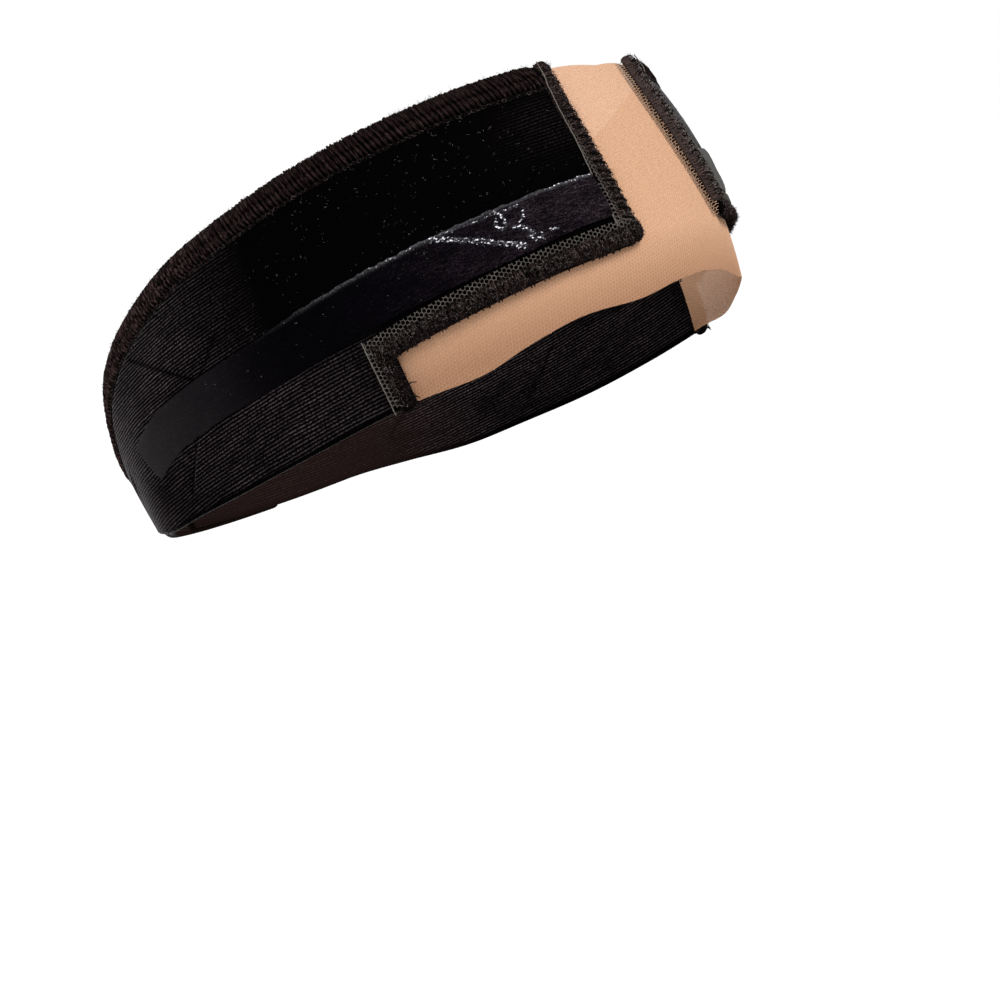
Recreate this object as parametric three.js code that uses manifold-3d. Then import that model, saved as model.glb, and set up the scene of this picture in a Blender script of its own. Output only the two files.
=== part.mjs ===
// A lace wig grip band, closed into a ring as it is worn.
// Two side bands of folded stretch velvet meet in a hook-and-loop overlap at the nape. A panel of fine lace
// joins them at the front. Each side band has a serged top edge, and in front a stepped cut-out whose three
// edges are hemmed over a strip of honeycomb net. A grip tape of shiny film runs along each side band.
// Millimetres and degrees. The ring's own frame has +Z along its axis and the front at -Y; the whole ring is
// then tilted so that its front is raised.
import * as THREE from "three";
import { mergeVertices } from "three/addons/utils/BufferGeometryUtils.js";
import Module from "manifold-3d";

const wasm = await Module();
wasm.setup();

// The oval form that the band is stretched over: half sizes of an ellipsoid, at the inner face of the lace
const FORM_HALF_WIDTH = 72.5;
const FORM_HALF_LENGTH = 91.5;
const FORM_HALF_HEIGHT = 99.7;
const RING_TILT = 31.3;

// Heights of the band's edges above and below the form's widest line
const FRONT_TOP = 35.4;
const TOP_FALL = 30;
const FRONT_BOTTOM = 27.6;
const BOTTOM_RISE = 9.5;
const HEM_BOTTOM = 13.4;

// Walls, from the inside out
const LACE_WALL = 1;
const VELVET_WALL = 1.8;
const TAPE_WALL = 1;
const NET_WALL = 1;
const HEM_WALL = 2.6;
const ROLL_WALL = 2.7;
const HOOK_WALL = 1.2;
const CLEARANCE = 0.3;

// Widths along the cloth
const LACE_HALF_GAP = 19.5;
const LACE_TUCK = 9;
const STEP_TURN = 62.8;
const HEM_WIDTH = 3.7;
const HEM_LIFT = 3.4;
const NET_WIDTH = 2.1;
const NET_FRONT_WIDTH = 1.4;
const ROLL_WIDTH = 6.2;
const TAPE_WIDTH = 12;
const TAPE_TOP = 5;
const TAPE_END_TURN = 116.5;
const TAPE_END_SLANT = 3.5;
const TAPE_FOLD_RISE = 1.1;
const NET_CELL = 2.5;
const NET_THREAD = 1;

// The overlap at the nape
const OVERLAP = 34;
const RAMP_START_TURN = 146;
const RAMP_END_TURN = 163;
const HOOK_MARGIN = 2.5;

// Where each layer starts, measured outwards from the form
const VELVET_IN = LACE_WALL + CLEARANCE;
const VELVET_OUT = VELVET_IN + VELVET_WALL;
const ON_VELVET = VELVET_OUT + CLEARANCE;
const NAPE_LIFT = HOOK_WALL + VELVET_WALL + 2 * CLEARANCE;
const NAPE_TURN = 180;

// The top edge round one side: how far it has fallen towards the closing tab
const TOP_EDGE = [
  { turn: 0, fall: 0.07 },
  { turn: 8, fall: 0.04 },
  { turn: 16, fall: 0.03 },
  { turn: 40, fall: 0 },
  { turn: 62, fall: 0 },
  { turn: 78, fall: 0.04 },
  { turn: 92, fall: 0.09 },
  { turn: 104, fall: 0.2 },
  { turn: 114, fall: 0.31 },
  { turn: 125, fall: 0.5 },
  { turn: 135, fall: 0.86 },
  { turn: 145, fall: 1 },
  { turn: 200, fall: 1 },
];
// The bottom edge round one side: how far it has risen towards the closing tab
const BOTTOM_EDGE = [
  { turn: 0, rise: 0.49 },
  { turn: 8, rise: 0.42 },
  { turn: 18, rise: 0.28 },
  { turn: 30, rise: 0.38 },
  { turn: 40, rise: 0.25 },
  { turn: 49, rise: 0.06 },
  { turn: 60, rise: 0.18 },
  { turn: 78, rise: 0.2 },
  { turn: 95, rise: 0.3 },
  { turn: 110, rise: 0.46 },
  { turn: 122, rise: 0.62 },
  { turn: 136, rise: 1 },
  { turn: 150, rise: 1.25 },
  { turn: 200, rise: 1.35 },
];
// The front edges: distance from the middle in shares of the lace's half gap, from the hem (0) to the top (1)
const FRONT_EDGE = [
  { height: 0, right: 0.93, left: 1 },
  { height: 0.22, right: 0.97, left: 0.76 },
  { height: 0.46, right: 1, left: 0.58 },
  { height: 0.7, right: 0.98, left: 0.53 },
  { height: 0.86, right: 0.91, left: 0.58 },
  { height: 1, right: 0.84, left: 0.72 },
];
// The lower hem: its drop in shares of the hem's own depth below the widest line, and the left one's share of its lift
const HEM_LINE = [
  { turn: 0, drop: 0.8, lift: 0.5 },
  { turn: 12, drop: 0.86, lift: 0.5 },
  { turn: 17, drop: 0.94, lift: 0.6 },
  { turn: 24, drop: 0.96, lift: 0.8 },
  { turn: 34, drop: 0.97, lift: 1 },
  { turn: 46, drop: 1.01, lift: 0.9 },
  { turn: 56, drop: 1.05, lift: 0.3 },
  { turn: 64, drop: 1.12, lift: 0 },
];
// The grip tape's upper edge: how far it lies under its front height, in shares of that height
const TAPE_LINE = [
  { turn: 16, sink: 0 },
  { turn: 60, sink: 0 },
  { turn: 80, sink: 0.28 },
  { turn: 92, sink: 0.24 },
  { turn: 104, sink: 0.3 },
  { turn: 112, sink: 0.62 },
  { turn: 120, sink: 1 },
];
// The grip tape's width along it, in shares of its full width, and the fold that stands off the velvet
const TAPE_FORM = [
  { turn: 16, width: 0.88, fold: 0 },
  { turn: 26, width: 0.88, fold: 0.05 },
  { turn: 33, width: 0.94, fold: 1 },
  { turn: 40, width: 0.98, fold: 0.45 },
  { turn: 47, width: 0.99, fold: 0.1 },
  { turn: 56, width: 1, fold: 0 },
  { turn: 75, width: 0.98, fold: 0 },
  { turn: 120, width: 0.88, fold: 0 },
];

const RIGHT = -1;
const LEFT = 1;
const radians = THREE.MathUtils.degToRad;
const mix = THREE.MathUtils.lerp;

// A value of a table's column, by a smooth curve through its rows
function read(table, by, column, at) {
  const last = table.length - 1;
  let i = 0;
  while (i < last - 1 && at > table[i + 1][by]) i += 1;
  const rows = [Math.max(i - 1, 0), i, i + 1, Math.min(i + 2, last)].map((n) => table[n]);
  const [a, b, c, d] = rows;
  const span = c[by] - b[by];
  const t = THREE.MathUtils.clamp((at - b[by]) / span, 0, 1);
  const startSlope = ((c[column] - a[column]) / (c[by] - a[by])) * span;
  const endSlope = ((d[column] - b[column]) / (d[by] - b[by])) * span;
  const t2 = t * t;
  const t3 = t2 * t;
  return (
    (2 * t3 - 3 * t2 + 1) * b[column] +
    (t3 - 2 * t2 + t) * startSlope +
    (3 * t2 - 2 * t3) * c[column] +
    (t3 - t2) * endSlope
  );
}

const topEdge = (turn) => FRONT_TOP - TOP_FALL * read(TOP_EDGE, "turn", "fall", turn);
const bottomEdge = (turn) => -FRONT_BOTTOM + BOTTOM_RISE * read(BOTTOM_EDGE, "turn", "rise", turn);
const rollLine = (turn) => topEdge(turn) - ROLL_WIDTH;

// On the wearer's left the lower hem and the grip tape sit a little higher in front of the step
function hemLift(side, turn) {
  if (side === RIGHT) return 0;
  return HEM_LIFT * read(HEM_LINE, "turn", "lift", turn);
}

// The cut-out's lower edge
const hemLine = (side, turn) => hemLift(side, turn) - HEM_BOTTOM * read(HEM_LINE, "turn", "drop", turn);

// How much of the form's widest oval is left at a height
const narrowing = (z) => Math.sqrt(1 - (z / FORM_HALF_HEIGHT) ** 2);

// The point at a turn from the front, a height and a distance out from the form
function onForm(side, turn, z, out) {
  const k = narrowing(z);
  const x = side * FORM_HALF_WIDTH * k * Math.sin(radians(turn));
  const y = -FORM_HALF_LENGTH * k * Math.cos(radians(turn));
  const point = new THREE.Vector3(x, y, z);
  const halves = [FORM_HALF_WIDTH, FORM_HALF_LENGTH, FORM_HALF_HEIGHT];
  const normal = new THREE.Vector3(...halves.map((half, i) => point.getComponent(i) / half ** 2));
  return point.addScaledVector(normal.normalize(), out);
}

// Degrees of turn that a length along the cloth takes up, near a turn
function turnOf(length, turn) {
  const across = FORM_HALF_WIDTH * Math.cos(radians(turn));
  const along = FORM_HALF_LENGTH * Math.sin(radians(turn));
  return THREE.MathUtils.radToDeg(length / Math.hypot(across, along));
}

// The turn of a side's front edge at a height
function frontTurn(side, z) {
  const height = THREE.MathUtils.clamp((z + HEM_BOTTOM) / (FRONT_TOP + HEM_BOTTOM), 0, 1);
  const share = read(FRONT_EDGE, "height", side === RIGHT ? "right" : "left", height);
  const x = LACE_HALF_GAP * share;
  return THREE.MathUtils.radToDeg(Math.asin(x / (FORM_HALF_WIDTH * narrowing(z))));
}

const overlapTurn = turnOf(OVERLAP / 2, NAPE_TURN);

// The right side band rises over the left one's end, to make room for the closure between them
function napeLift(side, turn) {
  if (side === LEFT) return 0;
  return NAPE_LIFT * THREE.MathUtils.smoothstep(turn, RAMP_START_TURN, RAMP_END_TURN);
}

// A closed shell from its inner and outer faces, each a grid of points over u and v, with rounded long rims
function shell({ columns, rows, at, rim = 0.5, thickness }) {
  const ring = [];
  for (let i = 0; i <= columns; i += 1) {
    const u = i / columns;
    const outer = [];
    const inner = [];
    for (let j = 0; j <= rows; j += 1) {
      outer.push(at(u, j / rows, 1));
      inner.push(at(u, j / rows, 0));
    }
    // The rim's middle stands out past the face by a share of the thickness
    const low = outer[0].clone().add(inner[0]).divideScalar(2);
    const high = outer[rows].clone().add(inner[rows]).divideScalar(2);
    const lowOut = outer[0].clone().sub(outer[1]).normalize();
    const highOut = outer[rows].clone().sub(outer[rows - 1]).normalize();
    low.addScaledVector(lowOut, rim * thickness);
    high.addScaledVector(highOut, rim * thickness);
    ring.push([low, ...outer, high, ...inner.reverse()]);
  }
  const around = ring[0].length;
  const positions = ring.flat().flatMap((p) => p.toArray());
  const faces = [];
  for (let i = 0; i < columns; i += 1) {
    for (let j = 0; j < around; j += 1) {
      const next = (j + 1) % around;
      const a = i * around + j;
      const b = i * around + next;
      const c = a + around;
      const d = b + around;
      faces.push(a, c, d, a, d, b);
    }
  }
  // End caps: a strip between the two faces, with a point at each rim
  for (const [start, flip] of [[0, false], [columns * around, true]]) {
    const strip = [];
    for (let j = 1; j <= rows; j += 1) {
      const a = start + j;
      const b = start + j + 1;
      const c = start + around - j;
      const d = c - 1;
      strip.push([a, b, d], [a, d, c]);
    }
    strip.push([start, start + 1, start + around - 1]);
    strip.push([start + rows + 1, start + rows + 2, start + rows + 3]);
    strip.forEach(([a, b, c]) => faces.push(...(flip ? [a, c, b] : [a, b, c])));
  }
  const geometry = new THREE.BufferGeometry();
  geometry.setAttribute("position", new THREE.Float32BufferAttribute(positions, 3));
  geometry.setIndex(faces);
  return geometry;
}

// A mesh as a solid, turned the right way out
function solid(geometry) {
  const merged = mergeVertices(geometry, 1e-4);
  const index = Array.from(merged.index.array);
  const build = (triangles) =>
    new wasm.Manifold(
      new wasm.Mesh({
        numProp: 3,
        vertProperties: merged.attributes.position.array,
        triVerts: new Uint32Array(triangles),
      }),
    );
  const made = build(index);
  if (made.volume() > 0) return made;
  for (let i = 0; i < index.length; i += 3) [index[i + 1], index[i + 2]] = [index[i + 2], index[i + 1]];
  return build(index);
}

// A solid's faces as a geometry again
function geometryOf(body) {
  const mesh = body.getMesh();
  const positions = new Float32Array(mesh.numVert * 3);
  for (let i = 0; i < mesh.numVert; i += 1) {
    positions.set(mesh.vertProperties.subarray(i * mesh.numProp, i * mesh.numProp + 3), i * 3);
  }
  const geometry = new THREE.BufferGeometry();
  geometry.setAttribute("position", new THREE.BufferAttribute(positions, 3));
  geometry.setIndex(new THREE.BufferAttribute(new Uint32Array(mesh.triVerts), 1));
  return geometry;
}

// Cloth over a stretch of one side: from and to give the turn at a height, low and high the height at a turn
function cloth({ side, from, to, low, high, inner, outer, columns, rows, rim }) {
  const middle = (turn) => (low(turn) + high(turn)) / 2;
  const start = from(middle(from(0)));
  const end = to(middle(to(0)));
  const thickness = outer(start, 0.5, 0) - inner(start, 0.5, 0);
  const at = (u, v, face) => {
    const nominal = mix(start, end, u);
    const z = mix(low(nominal), high(nominal), v);
    const turn = mix(from(z), to(z), u);
    const out = face === 1 ? outer(turn, v, u) : inner(turn, v, u);
    return onForm(side, turn, z, out);
  };
  return solid(shell({ columns, rows, at, rim, thickness }));
}

// A rounded profile across a strip, from 0 at its two edges to 1 in the middle
const rounded = (share) => Math.sqrt(Math.max(0, 1 - (2 * share - 1) ** 2));

// Distance out of a serged strip's face: flat inside, swelling outside
const SERGE_EDGE_SHARE = 0.55;
const swollen = (wall, share) => wall * mix(SERGE_EDGE_SHARE, 1, rounded(share));

// Room for the cloth between the front hem and the rear end
const rearTurn = NAPE_TURN + overlapTurn;
const frontHemInner = (side, z) => frontTurn(side, z) + turnOf(HEM_WIDTH, frontTurn(side, z));
const pastFrontHem = (side, z) => frontHemInner(side, z) + turnOf(CLEARANCE, frontHemInner(side, z));

// Cuts away what lies in front of the step and under a height
function underHem(side, height, until) {
  return cloth({
    side,
    from: () => -STEP_TURN / 2,
    to: () => until,
    low: () => -FRONT_BOTTOM - HEM_BOTTOM,
    high: height,
    inner: () => -HEM_WALL,
    outer: () => 2 * (VELVET_OUT + ROLL_WALL),
    columns: 40,
    rows: 1,
    rim: 0,
  });
}

// A side band: folded velvet from the front hem to its end at the nape, with the front cut-out's step
function velvetBand(side) {
  const whole = cloth({
    side,
    from: (z) => pastFrontHem(side, z),
    to: () => rearTurn,
    low: (turn) => bottomEdge(turn) + VELVET_WALL / 2,
    high: (turn) => rollLine(turn) - CLEARANCE - VELVET_WALL / 2,
    inner: (turn) => VELVET_IN + napeLift(side, turn),
    outer: (turn) => VELVET_OUT + napeLift(side, turn),
    columns: 35,
    rows: 6,
  });
  return whole.subtract(underHem(side, (turn) => hemLine(side, turn) + HEM_WIDTH + CLEARANCE, STEP_TURN));
}

// The serged roll along a side band's top edge
function topRoll(side) {
  return cloth({
    side,
    from: (z) => pastFrontHem(side, z),
    to: () => rearTurn,
    low: rollLine,
    high: topEdge,
    inner: (turn) => VELVET_IN + napeLift(side, turn),
    outer: (turn, v) => VELVET_IN + napeLift(side, turn) + swollen(ROLL_WALL, v),
    columns: 35,
    rows: 4,
    rim: 0,
  });
}

// The hem up the front edge, from the lower hem to the top
function frontHem(side) {
  return cloth({
    side,
    from: (z) => frontTurn(side, z),
    to: (z) => frontHemInner(side, z),
    low: (turn) => hemLine(side, turn) + HEM_WIDTH + CLEARANCE,
    high: topEdge,
    inner: () => VELVET_IN,
    outer: (turn, v, u) => VELVET_IN + swollen(HEM_WALL, u),
    columns: 4,
    rows: 9,
    rim: 0,
  });
}

// The hem along the cut-out's lower edge, from the front corner to the step
function lowerHem(side) {
  return cloth({
    side,
    from: (z) => frontTurn(side, z),
    to: () => STEP_TURN,
    low: (turn) => hemLine(side, turn),
    high: (turn) => hemLine(side, turn) + HEM_WIDTH,
    inner: () => VELVET_IN,
    outer: (turn, v) => VELVET_IN + swollen(HEM_WALL, v),
    columns: 12,
    rows: 4,
    rim: 0,
  });
}

// The hem down the step, from the lower hem to the band's bottom edge
function stepHem(side) {
  const stepWidth = turnOf(HEM_WIDTH, STEP_TURN);
  return cloth({
    side,
    from: () => STEP_TURN - stepWidth,
    to: () => STEP_TURN - turnOf(CLEARANCE, STEP_TURN),
    low: bottomEdge,
    high: (turn) => hemLine(side, turn) - CLEARANCE,
    inner: () => VELVET_IN,
    outer: (turn, v, u) => VELVET_IN + swollen(HEM_WALL, u),
    columns: 4,
    rows: 4,
    rim: 0,
  });
}

// One honeycomb opening through the net, at a turn and height
function netCell(side, turn, z) {
  const radius = (NET_CELL - NET_THREAD) / Math.sqrt(3);
  const corners = 6;
  const points = [];
  for (const out of [ON_VELVET - CLEARANCE / 2, ON_VELVET + 2 * NET_WALL]) {
    for (let i = 0; i < corners; i += 1) {
      const angle = (i + 0.5) * (360 / corners);
      const along = turnOf(radius * Math.cos(radians(angle)), turn);
      points.push(onForm(side, turn + along, z + radius * Math.sin(radians(angle)), out));
    }
  }
  const faces = [];
  for (let i = 0; i < corners; i += 1) {
    const next = (i + 1) % corners;
    faces.push(i, next, next + corners, i, next + corners, i + corners);
  }
  for (let i = 1; i < corners - 1; i += 1) {
    faces.push(0, i + 1, i, corners, corners + i, corners + i + 1);
  }
  const geometry = new THREE.BufferGeometry();
  const positions = points.flatMap((p) => p.toArray());
  geometry.setAttribute("position", new THREE.Float32BufferAttribute(positions, 3));
  geometry.setIndex(faces);
  return solid(geometry);
}

// The honeycomb net that shows beside the hems: up the front, along the lower edge and down the step
function netTape(side) {
  const inner = () => ON_VELVET;
  const outer = () => ON_VELVET + NET_WALL;
  const lowerLow = (turn) => hemLine(side, turn) + HEM_WIDTH + CLEARANCE;
  const lowerHigh = (turn) => lowerLow(turn) + NET_WIDTH;
  const stepOuter = STEP_TURN + turnOf(NET_FRONT_WIDTH, STEP_TURN);
  const flat = { side, inner, outer, rows: 1, rim: 0 };
  const lower = cloth({
    ...flat,
    from: (z) => pastFrontHem(side, z),
    to: () => stepOuter,
    low: lowerLow,
    high: lowerHigh,
    columns: 12,
  });
  const front = cloth({
    ...flat,
    from: (z) => pastFrontHem(side, z),
    to: (z) => pastFrontHem(side, z) + turnOf(NET_FRONT_WIDTH, pastFrontHem(side, z)),
    low: (turn) => (lowerLow(turn) + lowerHigh(turn)) / 2,
    high: (turn) => rollLine(turn) - CLEARANCE,
    columns: 1,
    rows: 8,
  });
  const step = cloth({
    ...flat,
    from: () => STEP_TURN + turnOf(CLEARANCE, STEP_TURN),
    to: () => stepOuter,
    low: (turn) => bottomEdge(turn) + VELVET_WALL,
    high: (turn) => (lowerLow(turn) + lowerHigh(turn)) / 2,
    columns: 1,
    rows: 4,
  });
  const cells = [];
  const firstTurn = pastFrontHem(side, -HEM_BOTTOM) + turnOf(NET_CELL, STEP_TURN / 2);
  for (let turn = firstTurn; turn < STEP_TURN; turn += turnOf(NET_CELL, turn)) {
    cells.push(netCell(side, turn, (lowerLow(turn) + lowerHigh(turn)) / 2));
  }
  return wasm.Manifold.difference([lower.add(front).add(step), ...cells]);
}

// The shiny grip tape along a side band, with one fold that stands off the velvet
function gripTape(side) {
  const top = (turn) => TAPE_TOP * (1 - read(TAPE_LINE, "turn", "sink", turn)) + hemLift(side, turn);
  const width = (turn) => TAPE_WIDTH * read(TAPE_FORM, "turn", "width", turn);
  const fold = (turn, v) => TAPE_FOLD_RISE * read(TAPE_FORM, "turn", "fold", turn) * rounded(v);
  const slanted = (z) => TAPE_END_TURN + TAPE_END_SLANT * (z / TAPE_TOP) * 0.5;
  return cloth({
    side,
    from: (z) => pastFrontHem(side, z) + turnOf(NET_FRONT_WIDTH + CLEARANCE, pastFrontHem(side, z)),
    to: slanted,
    low: (turn) => top(turn) - width(turn),
    high: top,
    inner: (turn, v) => ON_VELVET + fold(turn, v),
    outer: (turn, v) => ON_VELVET + TAPE_WALL + fold(turn, v),
    columns: 24,
    rows: 4,
    rim: 0,
  });
}

// The lace: full height between the front edges, and a lower strip out to each step
function laceFront() {
  const halves = [RIGHT, LEFT].map((side) => {
    const tuckedTop = (turn) => hemLine(side, turn) + HEM_WIDTH;
    const whole = cloth({
      side,
      from: () => -turnOf(CLEARANCE, 0),
      to: () => STEP_TURN - turnOf(CLEARANCE, STEP_TURN),
      low: bottomEdge,
      high: topEdge,
      inner: () => 0,
      outer: () => LACE_WALL,
      columns: 16,
      rows: 5,
      rim: 0,
    });
    const besideGap = cloth({
      side,
      from: (z) => frontTurn(side, z) + turnOf(LACE_TUCK, frontTurn(side, z)),
      to: () => STEP_TURN + HEM_WIDTH,
      low: tuckedTop,
      high: () => FRONT_TOP + ROLL_WIDTH,
      inner: () => -HEM_WALL,
      outer: () => VELVET_OUT,
      columns: 12,
      rows: 6,
      rim: 0,
    });
    return whole.subtract(besideGap);
  });
  return halves[0].add(halves[1]);
}

// The hook patch between the two tabs, in the velvet's height
function hookPatch() {
  const reach = overlapTurn - turnOf(HOOK_MARGIN, NAPE_TURN);
  return cloth({
    side: RIGHT,
    from: () => NAPE_TURN - reach,
    to: () => NAPE_TURN + reach,
    low: (turn) => bottomEdge(turn) + VELVET_WALL / 2 + HOOK_MARGIN,
    high: (turn) => rollLine(turn) - HOOK_MARGIN,
    inner: () => ON_VELVET,
    outer: () => ON_VELVET + HOOK_WALL,
    columns: 8,
    rows: 1,
    rim: 0,
  });
}

// Finishes
const finish = (color, roughness, metalness = 0) =>
  new THREE.MeshStandardMaterial({ color, roughness, metalness, side: THREE.DoubleSide });
const FINISHES = {
  velvet: finish(0x0b0909, 0.95),
  thread: finish(0x1d1715, 0.9),
  net: finish(0x57534c, 0.8),
  tape: finish(0x16171b, 0.25),
  lace: finish(0xdcb894, 0.85),
  hook: finish(0x121212, 0.9),
};

const ring = new THREE.Group();
ring.rotation.x = -radians(RING_TILT);

// Adds one named piece to the ring
function place(name, body, material) {
  const mesh = new THREE.Mesh(geometryOf(body), material);
  mesh.name = name;
  ring.add(mesh);
}

place("lace_front", laceFront(), FINISHES.lace);
for (const [side, label] of [[RIGHT, "right"], [LEFT, "left"]]) {
  place(`velvet_band_${label}`, velvetBand(side), FINISHES.velvet);
  place(`top_roll_${label}`, topRoll(side), FINISHES.thread);
  place(`front_hem_${label}`, frontHem(side), FINISHES.thread);
  place(`lower_hem_${label}`, lowerHem(side), FINISHES.thread);
  place(`step_hem_${label}`, stepHem(side), FINISHES.thread);
  place(`net_tape_${label}`, netTape(side), FINISHES.net);
  place(`grip_tape_${label}`, gripTape(side), FINISHES.tape);
}
place("hook_patch", hookPatch(), FINISHES.hook);

const part = new THREE.Group();
part.add(ring);
export default part;
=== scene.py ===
import math

import bmesh
import bpy
import numpy as np
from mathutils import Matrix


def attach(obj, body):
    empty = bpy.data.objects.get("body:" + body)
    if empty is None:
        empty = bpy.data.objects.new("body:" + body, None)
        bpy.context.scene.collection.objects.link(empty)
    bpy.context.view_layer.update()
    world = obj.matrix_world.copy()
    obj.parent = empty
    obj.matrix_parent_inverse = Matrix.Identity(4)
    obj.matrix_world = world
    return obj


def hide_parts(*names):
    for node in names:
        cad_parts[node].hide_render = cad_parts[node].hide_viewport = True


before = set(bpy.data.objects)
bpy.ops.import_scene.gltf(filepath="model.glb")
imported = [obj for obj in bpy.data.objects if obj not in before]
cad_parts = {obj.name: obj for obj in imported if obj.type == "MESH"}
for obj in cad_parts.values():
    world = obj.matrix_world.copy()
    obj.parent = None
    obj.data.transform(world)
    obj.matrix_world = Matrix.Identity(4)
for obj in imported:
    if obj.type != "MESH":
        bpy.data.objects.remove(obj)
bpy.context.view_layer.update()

# The two side bands: folded black stretch velvet, one round each side.
# Each is one thick sheet with a rounded fold along its bottom edge, and tapers to a closing tab at the nape.
# The pile is plain black in front; towards the rear the fine ribs of the knit show through it.
MM = 0.001
RIGHT, LEFT = -1, 1
SIDES = {"right": RIGHT, "left": LEFT}
FORM_HALVES = np.array([72.5, 91.5, 99.7]) * MM
RING_TILT = math.radians(31.3)
CLEARANCE = 0.3 * MM
VELVET_IN = 1.3 * MM
VELVET_OUT = 3.1 * MM
FOLD_RADIUS = 0.9 * MM
STEP_TURN = 62.8
HEM_WIDTH = 3.7 * MM
HEM_LIFT = 3.4 * MM
ROLL_WIDTH = 6.2 * MM
LACE_HALF_GAP = 19.5 * MM
OVERLAP = 34 * MM
NAPE_LIFT = 3.6 * MM
RAMP_TURNS = (146, 163)

# Rows of turn from the front in degrees, and height in millimetres from the oval's widest line
TOP_ROWS = [(0, 33.3), (8, 34.2), (16, 34.5), (40, 35.4), (62, 35.4), (78, 34.2), (92, 32.7), (104, 29.4),
            (114, 26.1), (125, 20.4), (135, 9.6), (145, 5.4), (200, 5.4)]
BOTTOM_ROWS = [(0, -22.95), (8, -23.61), (18, -24.94), (30, -23.99), (40, -25.23), (49, -27.03), (60, -25.89),
               (78, -25.7), (95, -24.75), (110, -23.23), (122, -21.71), (136, -18.1), (150, -15.73),
               (200, -14.78)]
HEM_ROWS = [(0, -10.72), (12, -11.52), (17, -12.6), (24, -12.86), (34, -13.0), (46, -13.53),
            (56, -14.07), (64, -15.01)]
# Rows of turn, and the share of its lift that the wearer's left hem has there
LIFT_ROWS = [(0, 0.5), (12, 0.5), (17, 0.6), (24, 0.8), (34, 1), (46, 0.9), (56, 0.3), (64, 0)]
# Rows of height share from the hem to the top, and distance from the middle in shares of the lace's half gap
FRONT_ROWS = {
    RIGHT: [(0, 0.93), (0.22, 0.97), (0.46, 1), (0.7, 0.98), (0.86, 0.91), (1, 0.84)],
    LEFT: [(0, 1), (0.22, 0.76), (0.46, 0.58), (0.7, 0.53), (0.86, 0.58), (1, 0.72)],
}
FRONT_SPAN = (-13.4 * MM, 35.4 * MM)


def follow(rows, at):
    """A smooth curve through the rows' points."""
    x = np.array([r[0] for r in rows], float)
    y = np.array([r[1] for r in rows], float)
    at = np.asarray(at, float)
    i = np.clip(np.searchsorted(x, at) - 1, 0, len(x) - 2)
    before, after = np.maximum(i - 1, 0), np.minimum(i + 2, len(x) - 1)
    span = x[i + 1] - x[i]
    t = np.clip((at - x[i]) / span, 0, 1)
    slope_in = (y[i + 1] - y[before]) / (x[i + 1] - x[before]) * span
    slope_out = (y[after] - y[i]) / (x[after] - x[i]) * span
    rise = (2 * t**3 - 3 * t**2 + 1) * y[i] + (3 * t**2 - 2 * t**3) * y[i + 1]
    return rise + (t**3 - 2 * t**2 + t) * slope_in + (t**3 - t**2) * slope_out


def top_edge(turn):
    return follow(TOP_ROWS, turn) * MM


def roll_line(turn):
    return top_edge(turn) - ROLL_WIDTH


def bottom_edge(turn):
    return follow(BOTTOM_ROWS, turn) * MM


def hem_lift(side, turn):
    """On the wearer's left the lower hem and the grip tape sit a little higher in front of the step."""
    return (HEM_LIFT if side == LEFT else 0) * follow(LIFT_ROWS, turn)


def hem_line(side, turn):
    return follow(HEM_ROWS, turn) * MM + hem_lift(side, turn)


def narrowing(z):
    return np.sqrt(1 - (z / FORM_HALVES[2]) ** 2)


def on_form(side, turn, z, out):
    """The point at a turn from the front, a height up the band and a distance out from the form."""
    turn, z, out = np.broadcast_arrays(np.radians(turn), z, out)
    k = narrowing(z)
    p = np.stack([side * FORM_HALVES[0] * k * np.sin(turn), -FORM_HALVES[1] * k * np.cos(turn), z], -1)
    n = p / FORM_HALVES**2
    p = p + n / np.linalg.norm(n, axis=-1, keepdims=True) * out[..., None]
    y = math.cos(RING_TILT) * p[..., 1] + math.sin(RING_TILT) * p[..., 2]
    up = -math.sin(RING_TILT) * p[..., 1] + math.cos(RING_TILT) * p[..., 2]
    return np.stack([p[..., 0], y, up], -1)


# Length along the oval against turn, so that a pitch in millimetres can be walked round it
ARC_TURNS = np.linspace(-20, 215, 941)
arc_angles = np.radians(ARC_TURNS)
arc_step = np.hypot(FORM_HALVES[0] * np.cos(arc_angles), FORM_HALVES[1] * np.sin(arc_angles))
ARC = np.concatenate([[0], np.cumsum((arc_step[1:] + arc_step[:-1]) / 2 * np.radians(np.diff(ARC_TURNS)))])


def arc_at(turn):
    return np.interp(turn, ARC_TURNS, ARC)


def turn_at(arc):
    return np.interp(arc, ARC, ARC_TURNS)


def turn_past(turn, length):
    """The turn that lies a length further round than another."""
    return turn_at(arc_at(turn) + length)


def front_turn(side, z):
    low, high = FRONT_SPAN
    share = follow(FRONT_ROWS[side], np.clip((z - low) / (high - low), 0, 1))
    return np.degrees(np.arcsin(LACE_HALF_GAP * share / (FORM_HALVES[0] * narrowing(z))))


def hem_turn(side, z):
    """Where the front hem ends and the velvet starts."""
    return turn_past(front_turn(side, z), HEM_WIDTH)


def nape_lift(side, turn):
    t = np.clip((turn - RAMP_TURNS[0]) / (RAMP_TURNS[1] - RAMP_TURNS[0]), 0, 1)
    return (NAPE_LIFT if side == RIGHT else 0) * t * t * (3 - 2 * t)


REAR_TURN = float(turn_past(180, OVERLAP / 2))


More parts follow.
